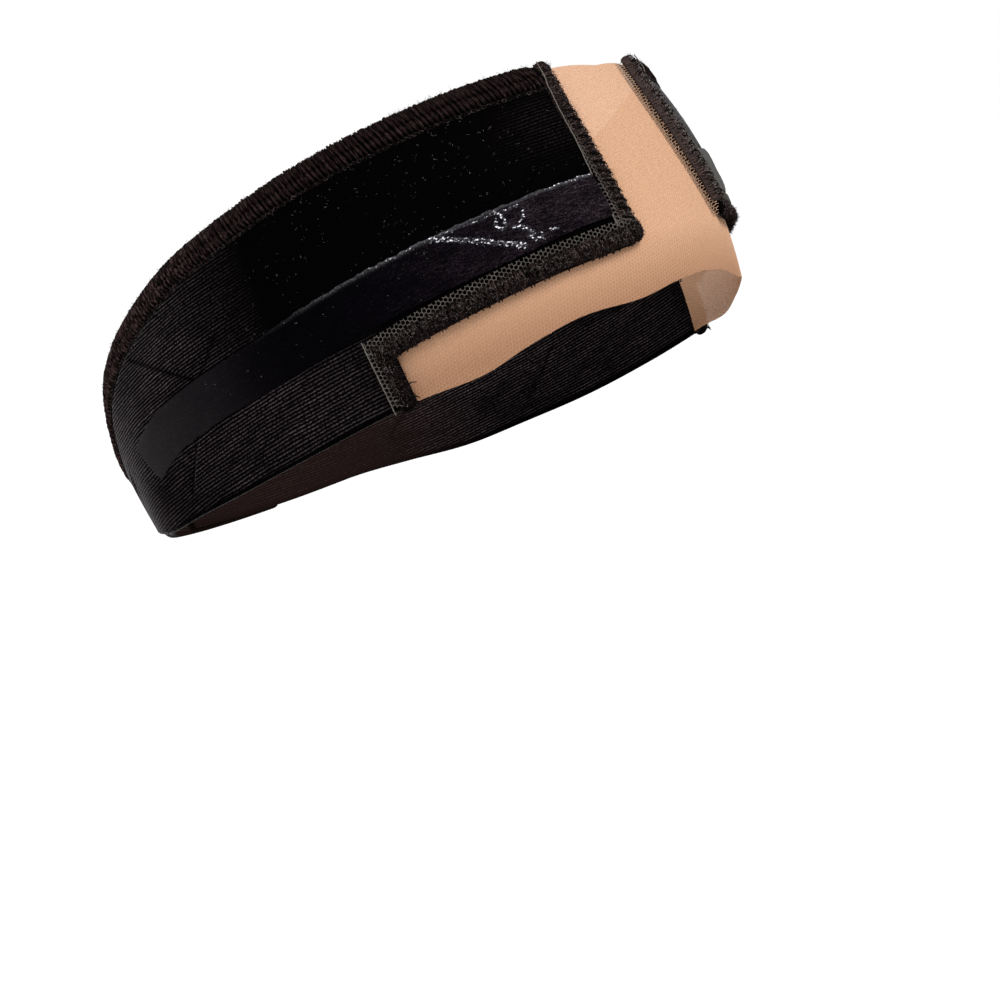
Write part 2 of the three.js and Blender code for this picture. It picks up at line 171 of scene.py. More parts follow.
def piece_from(name, points, faces, material, fields):
    """A mesh object at the origin, with its own pattern coordinates stored on its points."""
    mesh = bpy.data.meshes.new(name)
    mesh.from_pydata(points.tolist(), [], faces)
    for field, values in fields.items():
        kind = "FLOAT_VECTOR" if values.ndim == 2 else "FLOAT"
        slot = mesh.attributes.new(field, kind, "POINT")
        slot.data.foreach_set("vector" if values.ndim == 2 else "value", values.ravel())
    work = bmesh.new()
    work.from_mesh(mesh)
    bmesh.ops.recalc_face_normals(work, faces=work.faces)
    work.to_mesh(mesh)
    work.free()
    mesh.polygons.foreach_set("use_smooth", [True] * len(mesh.polygons))
    mesh.materials.append(material)
    piece = bpy.data.objects.new(name, mesh)
    bpy.context.collection.objects.link(piece)
    return piece


def shell(name, outer, inner, material, fields, keep=None):
    """A closed sheet from grids of outer and inner points; every free edge is rounded over."""
    across, up = outer.shape[0] - 1, outer.shape[1] - 1
    keep = np.ones((across, up), bool) if keep is None else keep
    count = (across + 1) * (up + 1)
    number = np.arange(count).reshape(across + 1, up + 1)
    points = [*outer.reshape(-1, 3), *inner.reshape(-1, 3)]
    source = list(range(count)) * 2
    faces, rims = [], {}
    for i, j in zip(*np.nonzero(keep)):
        a, b, c, d = number[i, j], number[i + 1, j], number[i + 1, j + 1], number[i, j + 1]
        faces.append((a, b, c, d))
        faces.append((d + count, c + count, b + count, a + count))
        sides = (((i, j - 1), a, b), ((i + 1, j), b, c), ((i, j + 1), c, d), ((i - 1, j), d, a))
        for (m, n), p, q in sides:
            if 0 <= m < across and 0 <= n < up and keep[m, n]:
                continue
            middle = (points[a] + points[c]) / 2
            for end in (p, q):
                rims.setdefault(end, []).append((points[p] + points[q]) / 2 - middle)
            faces.append(("rim", p, q))
    rounds = {}
    for end, ways in rims.items():
        a, b = points[end], points[end + count]
        way = np.sum([w / np.linalg.norm(w) for w in ways], axis=0)
        through = (a - b) / np.linalg.norm(a - b)
        way = way - through * (way @ through)
        way = way / np.linalg.norm(way) * np.linalg.norm(a - b) / 2
        rounds[end] = []
        for angle in (50, 90, 130):
            swing = math.radians(angle)
            rounds[end].append(len(points))
            points.append((a + b) / 2 + (a - b) / 2 * math.cos(swing) + way * math.sin(swing))
            source.append(int(end))
    closed = []
    for face in faces:
        if face[0] != "rim":
            closed.append(tuple(int(v) for v in face))
            continue
        p, q = int(face[1]), int(face[2])
        near = [p, *rounds[p], p + count]
        far = [q, *rounds[q], q + count]
        closed += [(near[k], near[k + 1], far[k + 1], far[k]) for k in range(4)]
    used = np.unique(np.array([v for f in closed for v in f]))
    new = {int(v): k for k, v in enumerate(used)}
    closed = [tuple(new[v] for v in f) for f in closed]
    picked = np.array(source)[used]
    stored = {key: value.reshape(count, -1)[picked] for key, value in fields.items()}
    stored = {key: value if value.shape[1] == 3 else value[:, 0] for key, value in stored.items()}
    return piece_from(name, np.array(points)[used], closed, material, stored)


def cloth_field(turn, z):
    """Pattern coordinates in metres: along the band, up the band."""
    return np.stack([arc_at(turn), z, np.zeros_like(z)], -1)


def finish(name, color, roughness, **sockets):
    """A material with its own Principled shader, whose plain values sit on the shader's sockets."""
    material = bpy.data.materials.new(name)
    material.use_nodes = True
    material.diffuse_color = (*color, 1)
    shader = material.node_tree.nodes["Principled BSDF"]
    shader.inputs["Base Color"].default_value = (*color, 1)
    shader.inputs["Roughness"].default_value = roughness
    for socket, value in sockets.items():
        shader.inputs[socket.replace("_", " ").title().replace("Ior", "IOR")].default_value = value
    return material


class Nodes:
    """Short hand for adding linked nodes to a tree; an input is named, or numbered as i0, i1."""

    def __init__(self, tree):
        self.tree = tree

    def plug(self, socket, value):
        if isinstance(value, bpy.types.NodeSocket):
            self.tree.links.new(value, socket)
        else:
            socket.default_value = value

    def add(self, kind, settings=None, **inputs):
        node = self.tree.nodes.new(kind if "Node" in kind else "ShaderNode" + kind)
        for key, value in (settings or {}).items():
            setattr(node, key, value)
        for key, value in inputs.items():
            numbered = key[0] == "i" and key[1:].isdigit()
            self.plug(node.inputs[int(key[1:]) if numbered else key.replace("_", " ")], value)
        return node

    def field(self, name, output="Fac"):
        return self.add("Attribute", {"attribute_name": name}).outputs[output]

    def math(self, operation, a, b=0.0):
        return self.add("Math", {"operation": operation}, i0=a, i1=b).outputs[0]

    def times(self, a, b):
        return self.math("MULTIPLY", a, b)

    def plus(self, a, b):
        return self.math("ADD", a, b)

    def noise(self, vector, scale, detail, roughness=0.5, turn=0.0):
        """Noise stretched by a scale along each axis, turned in the cloth's plane."""
        stretched = self.add("Mapping", None, Vector=vector, Scale=scale, Rotation=(0, 0, math.radians(turn)))
        return self.add("TexNoise", None, Vector=stretched.outputs[0], Scale=1.0, Detail=detail,
                        Roughness=roughness).outputs["Fac"]

    def ramp(self, value, *stops):
        node = self.add("ValToRGB", None, Fac=value)
        for element, (place, color) in zip(node.color_ramp.elements, stops):
            element.position = place
            element.color = (*color, 1) if isinstance(color, tuple) else (color, color, color, 1)
        return node.outputs["Color"]

    def mix(self, share, a, b):
        node = self.add("Mix", {"data_type": "RGBA"}, i0=share)
        for place, color in ((6, a), (7, b)):
            self.plug(node.inputs[place], (*color, 1) if isinstance(color, tuple) else color)
        return node.outputs[2]

    def bump(self, height, strength, distance):
        return self.add("Bump", None, Height=height, Strength=strength, Distance=distance).outputs["Normal"]

    def feed(self, **sockets):
        shader = self.tree.nodes["Principled BSDF"]
        for name, output in sockets.items():
            self.tree.links.new(output, shader.inputs[name.replace("_", " ").title()])


# Ribs run along the band 0.8 mm apart, and break up where the pile covers them. They are the knit's own ribs,
# with a painted highlight: their tops are drawn as lit grey-brown dashes on black.
RIB_PITCH = 0.8 * MM
velvet_finish = finish("velvet", (0.001, 0.0009, 0.0009), 0.95, sheen_weight=0.6, sheen_roughness=0.16,
                       sheen_tint=(0.8, 0.78, 0.8, 1), specular_ior_level=0.0)
velvet = Nodes(velvet_finish.node_tree)
cloth = velvet.field("cloth", "Vector")
ribbed = velvet.field("ribbed")
separate = velvet.add("SeparateXYZ", None, Vector=cloth)
waver = velvet.noise(cloth, (60, 160, 1), 2)
rib_height = velvet.plus(separate.outputs["Y"], velvet.times(waver, 0.9 * MM))
rib_wave = velvet.math("SINE", velvet.times(rib_height, 2 * math.pi / RIB_PITCH))
rib = velvet.ramp(velvet.plus(velvet.times(rib_wave, 0.5), 0.5), (0.45, 0.0), (0.85, 1.0))
crease_shade = velvet.field("crease_shade")
tab = velvet.field("tab")
loops = velvet.noise(cloth, (1500, 2900, 1), 2, 0.8, 20)
line_tone = velvet.noise(cloth, (90, 1400, 1), 2, 0.6)
patch = velvet.noise(cloth, (40, 60, 1), 3, 0.6)
broken = velvet.times(velvet.ramp(loops, (0.43, 0.03), (0.62, 1.0)),
                     velvet.ramp(line_tone, (0.3, 0.3), (0.65, 1.0)))
# Painted shade: the lit ribs are taken out along each crease's line, leaving it dark.
shown = velvet.times(velvet.math("SUBTRACT", 1.0, crease_shade),
                    velvet.times(ribbed, velvet.ramp(patch, (0.3, 0.4), (0.7, 1.0))))
lit = velvet.times(velvet.times(rib, broken), shown)
ground = velvet.mix(tab, (0.0011, 0.0009, 0.001), (0.0105, 0.0058, 0.0054))
dust = velvet.noise(cloth, (2600, 2600, 1), 2, 0.7)
flecks = velvet.times(velvet.ramp(dust, (0.66, 0.0), (0.76, 1.0)), 0.5)
# Painted sheen: the pile on the wearer's left band is lighter towards the front, as where it catches light at
# a grazing angle.
painted_nap_sheen = velvet.field("painted_nap_sheen")
pile = velvet.mix(painted_nap_sheen, velvet.mix(flecks, ground, (0.02, 0.018, 0.019)), (0.036, 0.033, 0.032))
# The colour of the ribs' painted highlight, browner towards the closing tab.
dash = velvet.mix(tab, (0.19, 0.15, 0.16), (0.06, 0.041, 0.038))
velvet.feed(base_color=velvet.mix(lit, pile, dash),
            normal=velvet.bump(velvet.plus(velvet.times(rib, ribbed), loops), 0.6, 0.25 * MM))

# The wearer's right side is seen close, the left side hardly
FINENESS = {RIGHT: 1, LEFT: 0.6}
# Creases pressed into the cloth: end points as (turn, height in mm), depth and width in mm
CREASES = [
    ((108.6, 19.1), (100.2, 11.3), 0.4, 0.8), ((100.2, 11.3), (92.8, 3.4), 0.45, 0.8),
    ((86.7, 9.8), (92.8, 3.4), 0.35, 0.8), ((98.6, -7.4), (107.0, -17.4), 0.6, 0.8),
    ((38.0, 17.3), (38.2, 10.8), 0.2, 1.1), ((38.2, 10.8), (32.3, 15.1), 0.2, 1.1),
    ((130, -2), (137, -9), 0.4, 1.2), ((141, -1), (148, -6), 0.35, 1.2), ((70, 20), (76, 11), 0.12, 1.6),
]


def from_line(turn, z, start, end):
    """Share along a line on the cloth, and distance from it, for ends given as (turn, height in mm)."""
    a, b = (np.array([arc_at(turn_to), height * MM]) for turn_to, height in (start, end))
    p = np.stack([arc_at(turn), z], -1)
    share = np.clip(((p - a) @ (b - a)) / ((b - a) @ (b - a)), 0, 1)
    return share, np.linalg.norm(p - a - share[..., None] * (b - a), axis=-1)


def creases_at(turn, z):
    """Depth of the creases at each point, and how far each point lies in a crease's line, which is painted as
    shade.
    """
    depth, inside = np.zeros_like(z), np.zeros_like(z)
    for start, end, deep, wide in CREASES:
        share, away = from_line(turn, z, start, end)
        ends = np.sin(np.pi * (0.1 + 0.8 * share))
        swell_beside = np.exp(-(((away - 2 * wide * MM) / (1.2 * wide * MM)) ** 2))
        depth += ends * deep * MM * (np.exp(-((away / (wide * MM)) ** 2)) - 0.45 * swell_beside)
        inside = np.maximum(inside, min(1, deep * 3) * np.exp(-((away / (0.42 * MM)) ** 2)))
    return depth, inside


def velvet_grid(side):
    """Turn and height of a side band's points, and which cells the stepped cut-out leaves."""
    fine = FINENESS[side]
    front = np.linspace(0, 1, int(70 * fine))
    rear = np.linspace(STEP_TURN, REAR_TURN, int(300 * fine))[1:]
    upper = np.linspace(0, 1, int(64 * fine))
    lower = np.linspace(0, 1, int(26 * fine))[:-1]
    begin = float(hem_turn(side, 0.01))
    nominal = np.concatenate([begin + front * (STEP_TURN - begin), rear])
    high = roll_line(nominal) - CLEARANCE - FOLD_RADIUS
    low = bottom_edge(nominal) + FOLD_RADIUS
    above_hem = HEM_WIDTH + CLEARANCE + FOLD_RADIUS
    step_level = float(hem_line(side, STEP_TURN)) + above_hem
    at_step = len(front) - 1
    share = (step_level - low[at_step]) / (high[at_step] - low[at_step])
    level = np.where(nominal <= STEP_TURN, hem_line(side, nominal) + above_hem, low + share * (high - low))
    z = np.concatenate([low[:, None] + lower * (level - low)[:, None],
                        level[:, None] + upper * (high - level)[:, None]], 1)
    turn = np.repeat(nominal[:, None], z.shape[1], 1)
    start = turn_past(hem_turn(side, z), CLEARANCE + 0.6 * MM)
    into = np.clip((turn - nominal[0]) / (STEP_TURN - nominal[0]), 0, 1)
    turn = np.where(turn < STEP_TURN, start + into * (STEP_TURN - start), turn)
    keep = np.ones((z.shape[0] - 1, z.shape[1] - 1), bool)
    keep[:at_step, :len(lower)] = False
    return turn, z, keep


def ribs_showing(turn, z):
    """How much of the knit's ribs show, with their painted highlight: most at the rear and below the grip
    tape, a worn patch in front.
    """
    rear = np.clip((turn - 76) / 24, 0, 1)
    under = np.clip((turn - 60) / 8, 0, 1) * np.clip((-6 * MM - z) / (3 * MM), 0, 1)
    off_fold = np.clip((z - bottom_edge(turn) - 0.95 * MM) / (0.5 * MM), 0, 1)
    worn = 0.14 * np.exp(-(((turn - 23) / 7) ** 2) - ((z - 19 * MM) / (7 * MM)) ** 2)
    below_tape = np.clip((-8 * MM - z) / (3 * MM), 0, 1)
    return np.maximum(np.maximum(rear, under), worn) * off_fold * (1 - 0.3 * below_tape)


for label, side in SIDES.items():
    turn, z, keep = velvet_grid(side)
    drape = 0.22 * MM * np.sin(arc_at(turn) / (9 * MM) + z / (6 * MM)) * np.clip((turn - 30) / 40, 0, 1)
    lift = nape_lift(side, turn)
    depth, crease_shade = creases_at(turn, z)
    surface = drape - depth
    outer = on_form(side, turn, z, VELVET_OUT + lift + surface)
    inner = on_form(side, turn, z, VELVET_IN + lift + 0.5 * surface)
    # Painted sheen on the wearer's left band: lighter towards the front, and more so low down.
    painted_nap_sheen = (side == LEFT) * np.clip((40 - turn) / 20, 0, 1) * np.clip((26 * MM - z) / (40 * MM), 0.15, 1)
    fields = {"cloth": cloth_field(turn, z), "ribbed": ribs_showing(turn, z), "crease_shade": crease_shade,
              "tab": np.clip((turn - 118) / 22, 0, 1), "painted_nap_sheen": painted_nap_sheen}
    band = shell(f"velvet_{label}", outer, inner, velvet_finish, fields, keep)
    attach(band, "root")
    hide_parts(f"velvet_band_{label}")

# The serged top edges: each band's raw upper edge is wrapped in woolly overlock thread over a soft core.
# The thread crosses the strip in slanting ribs, passes over the rim and comes back inside.
# Fine fibres stand off it.
ROLL_WALL = 2.7 * MM
RIB_STEP = 1.3 * MM
RIB_SLANT = 1.9 * MM
ROLL_THREAD = 0.25 * MM
CHAIN_THREAD = 0.14 * MM
ROLL_FIBRE = 0.045 * MM
ROLL_COLUMNS, ROLL_ROWS = 180, 11
STRANDS_A_RIB = 3


def thread_tree():
    """Turns drawn paths into round thread that wavers and may taper to its end."""
    tree = bpy.data.node_groups.new("Sewing thread", "GeometryNodeTree")
    for label, kind in (("Geometry", "Geometry"), ("Radius", "Float"), ("Sides", "Int"), ("Taper", "Float"),
                        ("Waver", "Float"), ("Waver Scale", "Float"), ("Seed", "Float"),
                        ("Material", "Material")):
        tree.interface.new_socket(label, in_out="INPUT", socket_type="NodeSocket" + kind)
    tree.interface.new_socket("Geometry", in_out="OUTPUT", socket_type="NodeSocketGeometry")
    nodes = Nodes(tree)
    given = nodes.add("NodeGroupInput").outputs
    path = nodes.add("GeometryNodeMeshToCurve", i0=given["Geometry"]).outputs[0]
    noise = nodes.add("TexNoise", {"noise_dimensions": "4D"}, W=given["Seed"], Scale=given["Waver Scale"])
    centred = nodes.add("VectorMath", {"operation": "SUBTRACT"}, i0=noise.outputs["Color"],
                        i1=(0.5, 0.5, 0.5))
    shift = nodes.add("VectorMath", {"operation": "SCALE"}, i0=centred.outputs[0], Scale=given["Waver"])
    moved = nodes.add("GeometryNodeSetPosition", Geometry=path, Offset=shift.outputs[0]).outputs[0]
    along = nodes.add("GeometryNodeSplineParameter").outputs["Factor"]
    share = nodes.math("SUBTRACT", 1, nodes.times(along, given["Taper"]))
    width = nodes.add("GeometryNodeSetCurveRadius", Curve=moved, Radius=share).outputs[0]
    ring = nodes.add("GeometryNodeCurvePrimitiveCircle", Resolution=given["Sides"], Radius=given["Radius"])
    sweep = nodes.add("GeometryNodeCurveToMesh", Curve=width, Profile_Curve=ring.outputs["Curve"],
                      Scale=share, Fill_Caps=True).outputs[0]
    smooth = nodes.add("GeometryNodeSetShadeSmooth", i0=sweep).outputs[0]
    real = nodes.add("GeometryNodeRealizeInstances", i0=smooth).outputs[0]
    painted = nodes.add("GeometryNodeSetMaterial", Geometry=real, Material=given["Material"]).outputs[0]
    nodes.add("NodeGroupOutput", i0=painted)
    return tree


THREAD_TREE = thread_tree()


def run_tree(name, mesh, tree, settings):
    """The plain mesh that a Geometry Nodes tree makes from a mesh."""
    draft = bpy.data.objects.new(name + "_draft", mesh)
    bpy.context.collection.objects.link(draft)
    modifier = draft.modifiers.new("made", "NODES")
    modifier.node_group = tree
    names = {s.name: s.identifier for s in tree.interface.items_tree if s.in_out == "INPUT"}
    for label, value in settings.items():
        modifier[names[label]] = value
    bpy.context.view_layer.update()
    result = bpy.data.meshes.new_from_object(draft.evaluated_get(bpy.context.evaluated_depsgraph_get()))
    draft.modifiers.clear()
    bpy.data.objects.remove(draft)
    bpy.data.meshes.remove(mesh)
    result.name = name
    piece = bpy.data.objects.new(name, result)
    bpy.context.collection.objects.link(piece)
    return piece


def sewn(name, paths, radius, material, seed, sides=5, taper=0.0, waver=0.0, waver_scale=700.0,
         shades=None):
    """Thread along paths; each path, or each of its points, may carry its own shade from 0 to 1."""
    shades = np.random.default_rng(int(seed * 10)).random(len(paths)) if shades is None else shades
    points, edges, tones = [], [], []
    for path, tone in zip(paths, shades):
        first = len(points)
        points += list(path)
        edges += [(first + k, first + k + 1) for k in range(len(path) - 1)]
        tones += list(np.broadcast_to(tone, len(path)))
    mesh = bpy.data.meshes.new(name)
    mesh.from_pydata(np.array(points).tolist(), edges, [])
    slot = mesh.attributes.new("shade", "FLOAT", "POINT")
    slot.data.foreach_set("value", np.array(tones, float))
    settings = {"Radius": float(radius), "Sides": int(sides), "Taper": float(taper), "Waver": float(waver),
                "Waver Scale": float(waver_scale), "Seed": float(seed), "Material": material}
    return run_tree(name, mesh, THREAD_TREE, settings)


def woolly(name, dark, light, roughness=0.85):
    """Spun thread: each strand has its own shade, with fine twisted fibres across it."""
    material = finish(name, dark, roughness, sheen_weight=0.02, sheen_roughness=0.4, specular_ior_level=0.0)
    nodes = Nodes(material.node_tree)
    place = nodes.add("TexCoord").outputs["Object"]
    fibre = nodes.noise(place, (3500, 3500, 3500), 3, 0.7)
    share = nodes.times(nodes.field("shade"), nodes.ramp(fibre, (0.35, 0.15), (0.7, 1.0)))
    nodes.feed(base_color=nodes.mix(share, dark, light), normal=nodes.bump(fibre, 0.5, 0.12 * MM))
    return material


def swell(wall, share):
    return wall * (0.55 + 0.45 * np.sqrt(np.clip(1 - (2 * share - 1) ** 2, 0, 1)))


def hairs(side, turn, z, out, length, lean, chance):
    """Short curved fibres that stand off the cloth; lean is how far they tip up, out and along."""
    root = on_form(side, turn, z, out)
    beside = [on_form(side, turn, z + MM, out), on_form(side, turn, z, out + MM),
              on_form(side, turn_past(turn, MM), z, out)]
    axes = [(p - root) / np.linalg.norm(p - root, axis=-1, keepdims=True) for p in beside]
    way = sum(a * (l + 0.55 * chance.standard_normal(len(turn)))[:, None] for a, l in zip(axes, lean))
    way /= np.linalg.norm(way, axis=-1, keepdims=True)
    bend = chance.standard_normal((len(turn), 3)) * 0.32
    length = length[:, None]
    middle = root + way * length * 0.5 + bend * length * 0.3
    return np.stack([root, middle, root + way * length * 0.9 + bend * length], 1)


serge_thread = woolly("serge_thread", (0.0028, 0.0016, 0.0017), (0.07, 0.042, 0.041))
serge_core = woolly("serge_core", (0.0012, 0.001, 0.001), (0.003, 0.0025, 0.0025))
chain_thread = woolly("chain_thread", (0.003, 0.0022, 0.0022), (0.12, 0.092, 0.09))
fluff = woolly("fluff", (0.007, 0.0045, 0.0042), (0.05, 0.033, 0.031))

for label, side in SIDES.items():
    chance = np.random.default_rng(11 + side)
    begin = float(arc_at(hem_turn(side, 0.033))) + 0.5 * MM
    arcs = np.linspace(begin, float(arc_at(REAR_TURN)), ROLL_COLUMNS)
    turn = np.repeat(turn_at(arcs)[:, None], ROLL_ROWS, 1)
    share = np.linspace(0, 1, ROLL_ROWS)
    z = roll_line(turn) + share * ROLL_WIDTH
    lift = nape_lift(side, turn)
    core_in = on_form(side, turn, z, VELVET_IN + lift + 0.15 * MM)
    core_out = on_form(side, turn, z, VELVET_IN + lift + swell(ROLL_WALL, share) - 0.45 * MM)
    core = shell(f"roll_core_{label}", core_out, core_in, serge_core, {"shade": np.full(z.shape, 0.5)})
    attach(core, "root")
    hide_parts(f"top_roll_{label}")

    # Three strands make each rib. From the velvet they form a row of grains, dip, then cross the rim
    steps = np.arange(arcs[0] + 0.3 * MM, arcs[-1] - 0.4 * MM, RIB_STEP / STRANDS_A_RIB)
    strands = len(steps)
    across = np.array([-0.1, 0.0, 0.07, 0.15, 0.23, 0.31, 0.37, 0.42, 0.5, 0.62, 0.76, 0.9, 1.0,
                       1.03, 0.9, 0.5, 0.1, -0.1])
    inside = np.array([0] * 13 + [0.5, 1, 1, 1, 1])
    in_rib = np.arange(strands) % STRANDS_A_RIB
    reach = across[None] * (1 + chance.normal(0, 0.03, (strands, 1)))
    draw = np.interp(reach, [0.0, 0.06, 0.23, 0.41, 0.6], [0.85, 0.8, 0.2, 0.75, 0.15])
    gather = RIB_STEP / STRANDS_A_RIB * draw * (1 - in_rib)[:, None]
    start = steps + chance.normal(0, 0.09 * MM, strands)
    arc = start[:, None] + gather + RIB_SLANT * np.clip(reach, -0.2, 1.1) * (1 - 1.2 * (inside[None] > 0.6))
    turn = turn_at(np.minimum(arc, arcs[-1]))
    z = roll_line(turn) + reach * ROLL_WIDTH
    lift = nape_lift(side, turn)
    crown = np.array([0.0, 0.12, 0.0])[in_rib][:, None] * MM
    dip = 0.3 * MM * np.exp(-(((reach - 0.41) / 0.06) ** 2))
    over = np.where(reach < 0, VELVET_OUT + 0.12 * MM, VELVET_IN + swell(ROLL_WALL, reach) - 0.12 * MM)
    under = VELVET_IN - 0.05 * MM
    out = lift + (over + crown - dip) * (1 - inside) + under * inside
    out = out + chance.normal(0, 0.05 * MM, turn.shape)
    # Painted shade: each strand is darkest at its foot on the velvet and in the dip between the row of grains
    # and the outer row.
    shades = (np.array([0.25, 1.0, 0.6])[in_rib] * chance.uniform(0.35, 1.1, strands))[:, None]
    shades = shades * np.interp(reach, [0, 0.08, 0.2, 0.33, 0.41, 0.52, 0.9, 1.0],
                                [0.05, 0.3, 1, 0.8, 0.1, 0.6, 0.75, 0.5])
    flecks = 0.1 + 3.0 * chance.random(reach.shape) ** 4
    worn = np.interp(turn, [16, 34, 60, 95], [0.75, 0.35, 0.3, 0.85])
    shades = shades * (1 - worn) + flecks * np.interp(turn, [20, 40, 70, 100], [0.4, 0.6, 0.6, 1.3]) * worn
    threads = sewn(f"roll_threads_{label}", on_form(side, turn, z, out), ROLL_THREAD, serge_thread,
                   3 + side, sides=4, waver=0.45 * MM, shades=shades)
    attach(threads, "root")

    # The looper's chain where the ribs end on the velvet
    loops = []
    for foot in np.arange(arcs[0] + 0.6 * MM, arcs[-1] - 1.2 * MM, RIB_STEP):
        angle = np.radians(np.array([200, 140, 90, 40, 0, -40, -90, -140, -170]))
        arc = foot + (0.55 * np.cos(angle) - 0.1) * MM + chance.normal(0, 0.05 * MM, 9)
        turn = turn_at(arc)
        z = roll_line(turn) + (0.34 * np.sin(angle) - 0.75) * MM + chance.normal(0, 0.05 * MM, 9)
        rise = VELVET_OUT + 0.16 * MM + np.where(angle > 0, 0.1 * MM, 0)
        loops.append(on_form(side, turn, z, rise + nape_lift(side, turn)))
    chain = sewn(f"roll_chain_{label}", loops, CHAIN_THREAD, chain_thread, 4 + side, sides=4, waver=0.3 * MM,
                 shades=chance.random((len(loops), 9)) ** 4)
    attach(chain, "root")

    # Fibres along the rim and over the ribs
    count = 1800
    arc = chance.uniform(arcs[0], arcs[-1], count)
    turn = turn_at(arc)
    share = 1 - np.abs(chance.normal(0, 0.22, count))
    z = roll_line(turn) + share * ROLL_WIDTH
    out = nape_lift(side, turn) + VELVET_IN + swell(ROLL_WALL, share) - 0.1 * MM
    fibres = hairs(side, turn, z, out, chance.uniform(0.35, 1.05, count) * MM, (0.9, 0.55, 0.0), chance)
    fuzz = sewn(f"roll_fuzz_{label}", fibres, ROLL_FIBRE, fluff, 5 + side, sides=3, taper=0.7)
    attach(fuzz, "root")

# The hems of the stepped cut-outs: up the front edge, along the lower edge and down the step.
# Woolly thread wraps each raw edge; up the front it opens into slanting zigzag bars over a brown-grey base.
HEM_WALL = 2.6 * MM
WRAP_THREAD = 0.135 * MM
SPECK_RADIUS = 0.055 * MM
TUFT_RADIUS = 0.06 * MM
HEM_FIBRE = 0.05 * MM
WRAP_PITCH = {"front": 0.4 * MM, "lower": 0.3 * MM, "step": 0.34 * MM}
HEM_LEAN = {"front": (0.1, 0.6, -0.9), "lower": (-0.9, 0.6, 0.0), "step": (-0.2, 0.6, -0.9)}
FIBRES_PER_MM = {"front": 9, "lower": 26, "step": 26}
TUFTS = 260
FRONT_LOW = {side: float(hem_line(side, front_turn(side, -0.008))) for side in SIDES.values()}


def front_place(side, length, share):
    """Turn and height in the front hem, by length up it and share from the velvet to the free edge."""
    z = FRONT_LOW[side] + HEM_WIDTH + CLEARANCE + length
    a, b = arc_at(hem_turn(side, z)), arc_at(front_turn(side, z))
    return turn_at(a + (b - a) * share), z


def lower_place(side, length, share):
    turn = turn_at(arc_at(front_turn(side, FRONT_LOW[side])) + length)
    return turn, hem_line(side, turn) + HEM_WIDTH * (1 - share)


def step_place(side, length, share):
    turn = turn_past(STEP_TURN, -HEM_WIDTH * share)
    z = hem_line(side, turn) - CLEARANCE - length
    return turn, z


hem_places = {"front": front_place, "lower": lower_place, "step": step_place}
# How light the wrapping is, at least and at most: the front hems are worn grey, the steps are dark
HEM_LIGHT = {"front": {RIGHT: (0.25, 1.1), LEFT: (1, 1.4)}, "lower": {RIGHT: (0.0, 0.8), LEFT: (0.0, 0.8)},
             "step": {RIGHT: (0, 0.35), LEFT: (0, 0.35)}}
# Light broken ends among the wraps, to the square millimetre
SPECKS = {"front": {RIGHT: 3, LEFT: 9}, "lower": {RIGHT: 4, LEFT: 4}, "step": {RIGHT: 2.5, LEFT: 2.5}}
hem_base = woolly("hem_base", (0.002, 0.0014, 0.0014), (0.085, 0.062, 0.057))
hem_thread = woolly("hem_thread", (0.0035, 0.0021, 0.002), (0.115, 0.078, 0.07))
speck_thread = woolly("speck_thread", (0.02, 0.015, 0.015), (0.76, 0.66, 0.64))

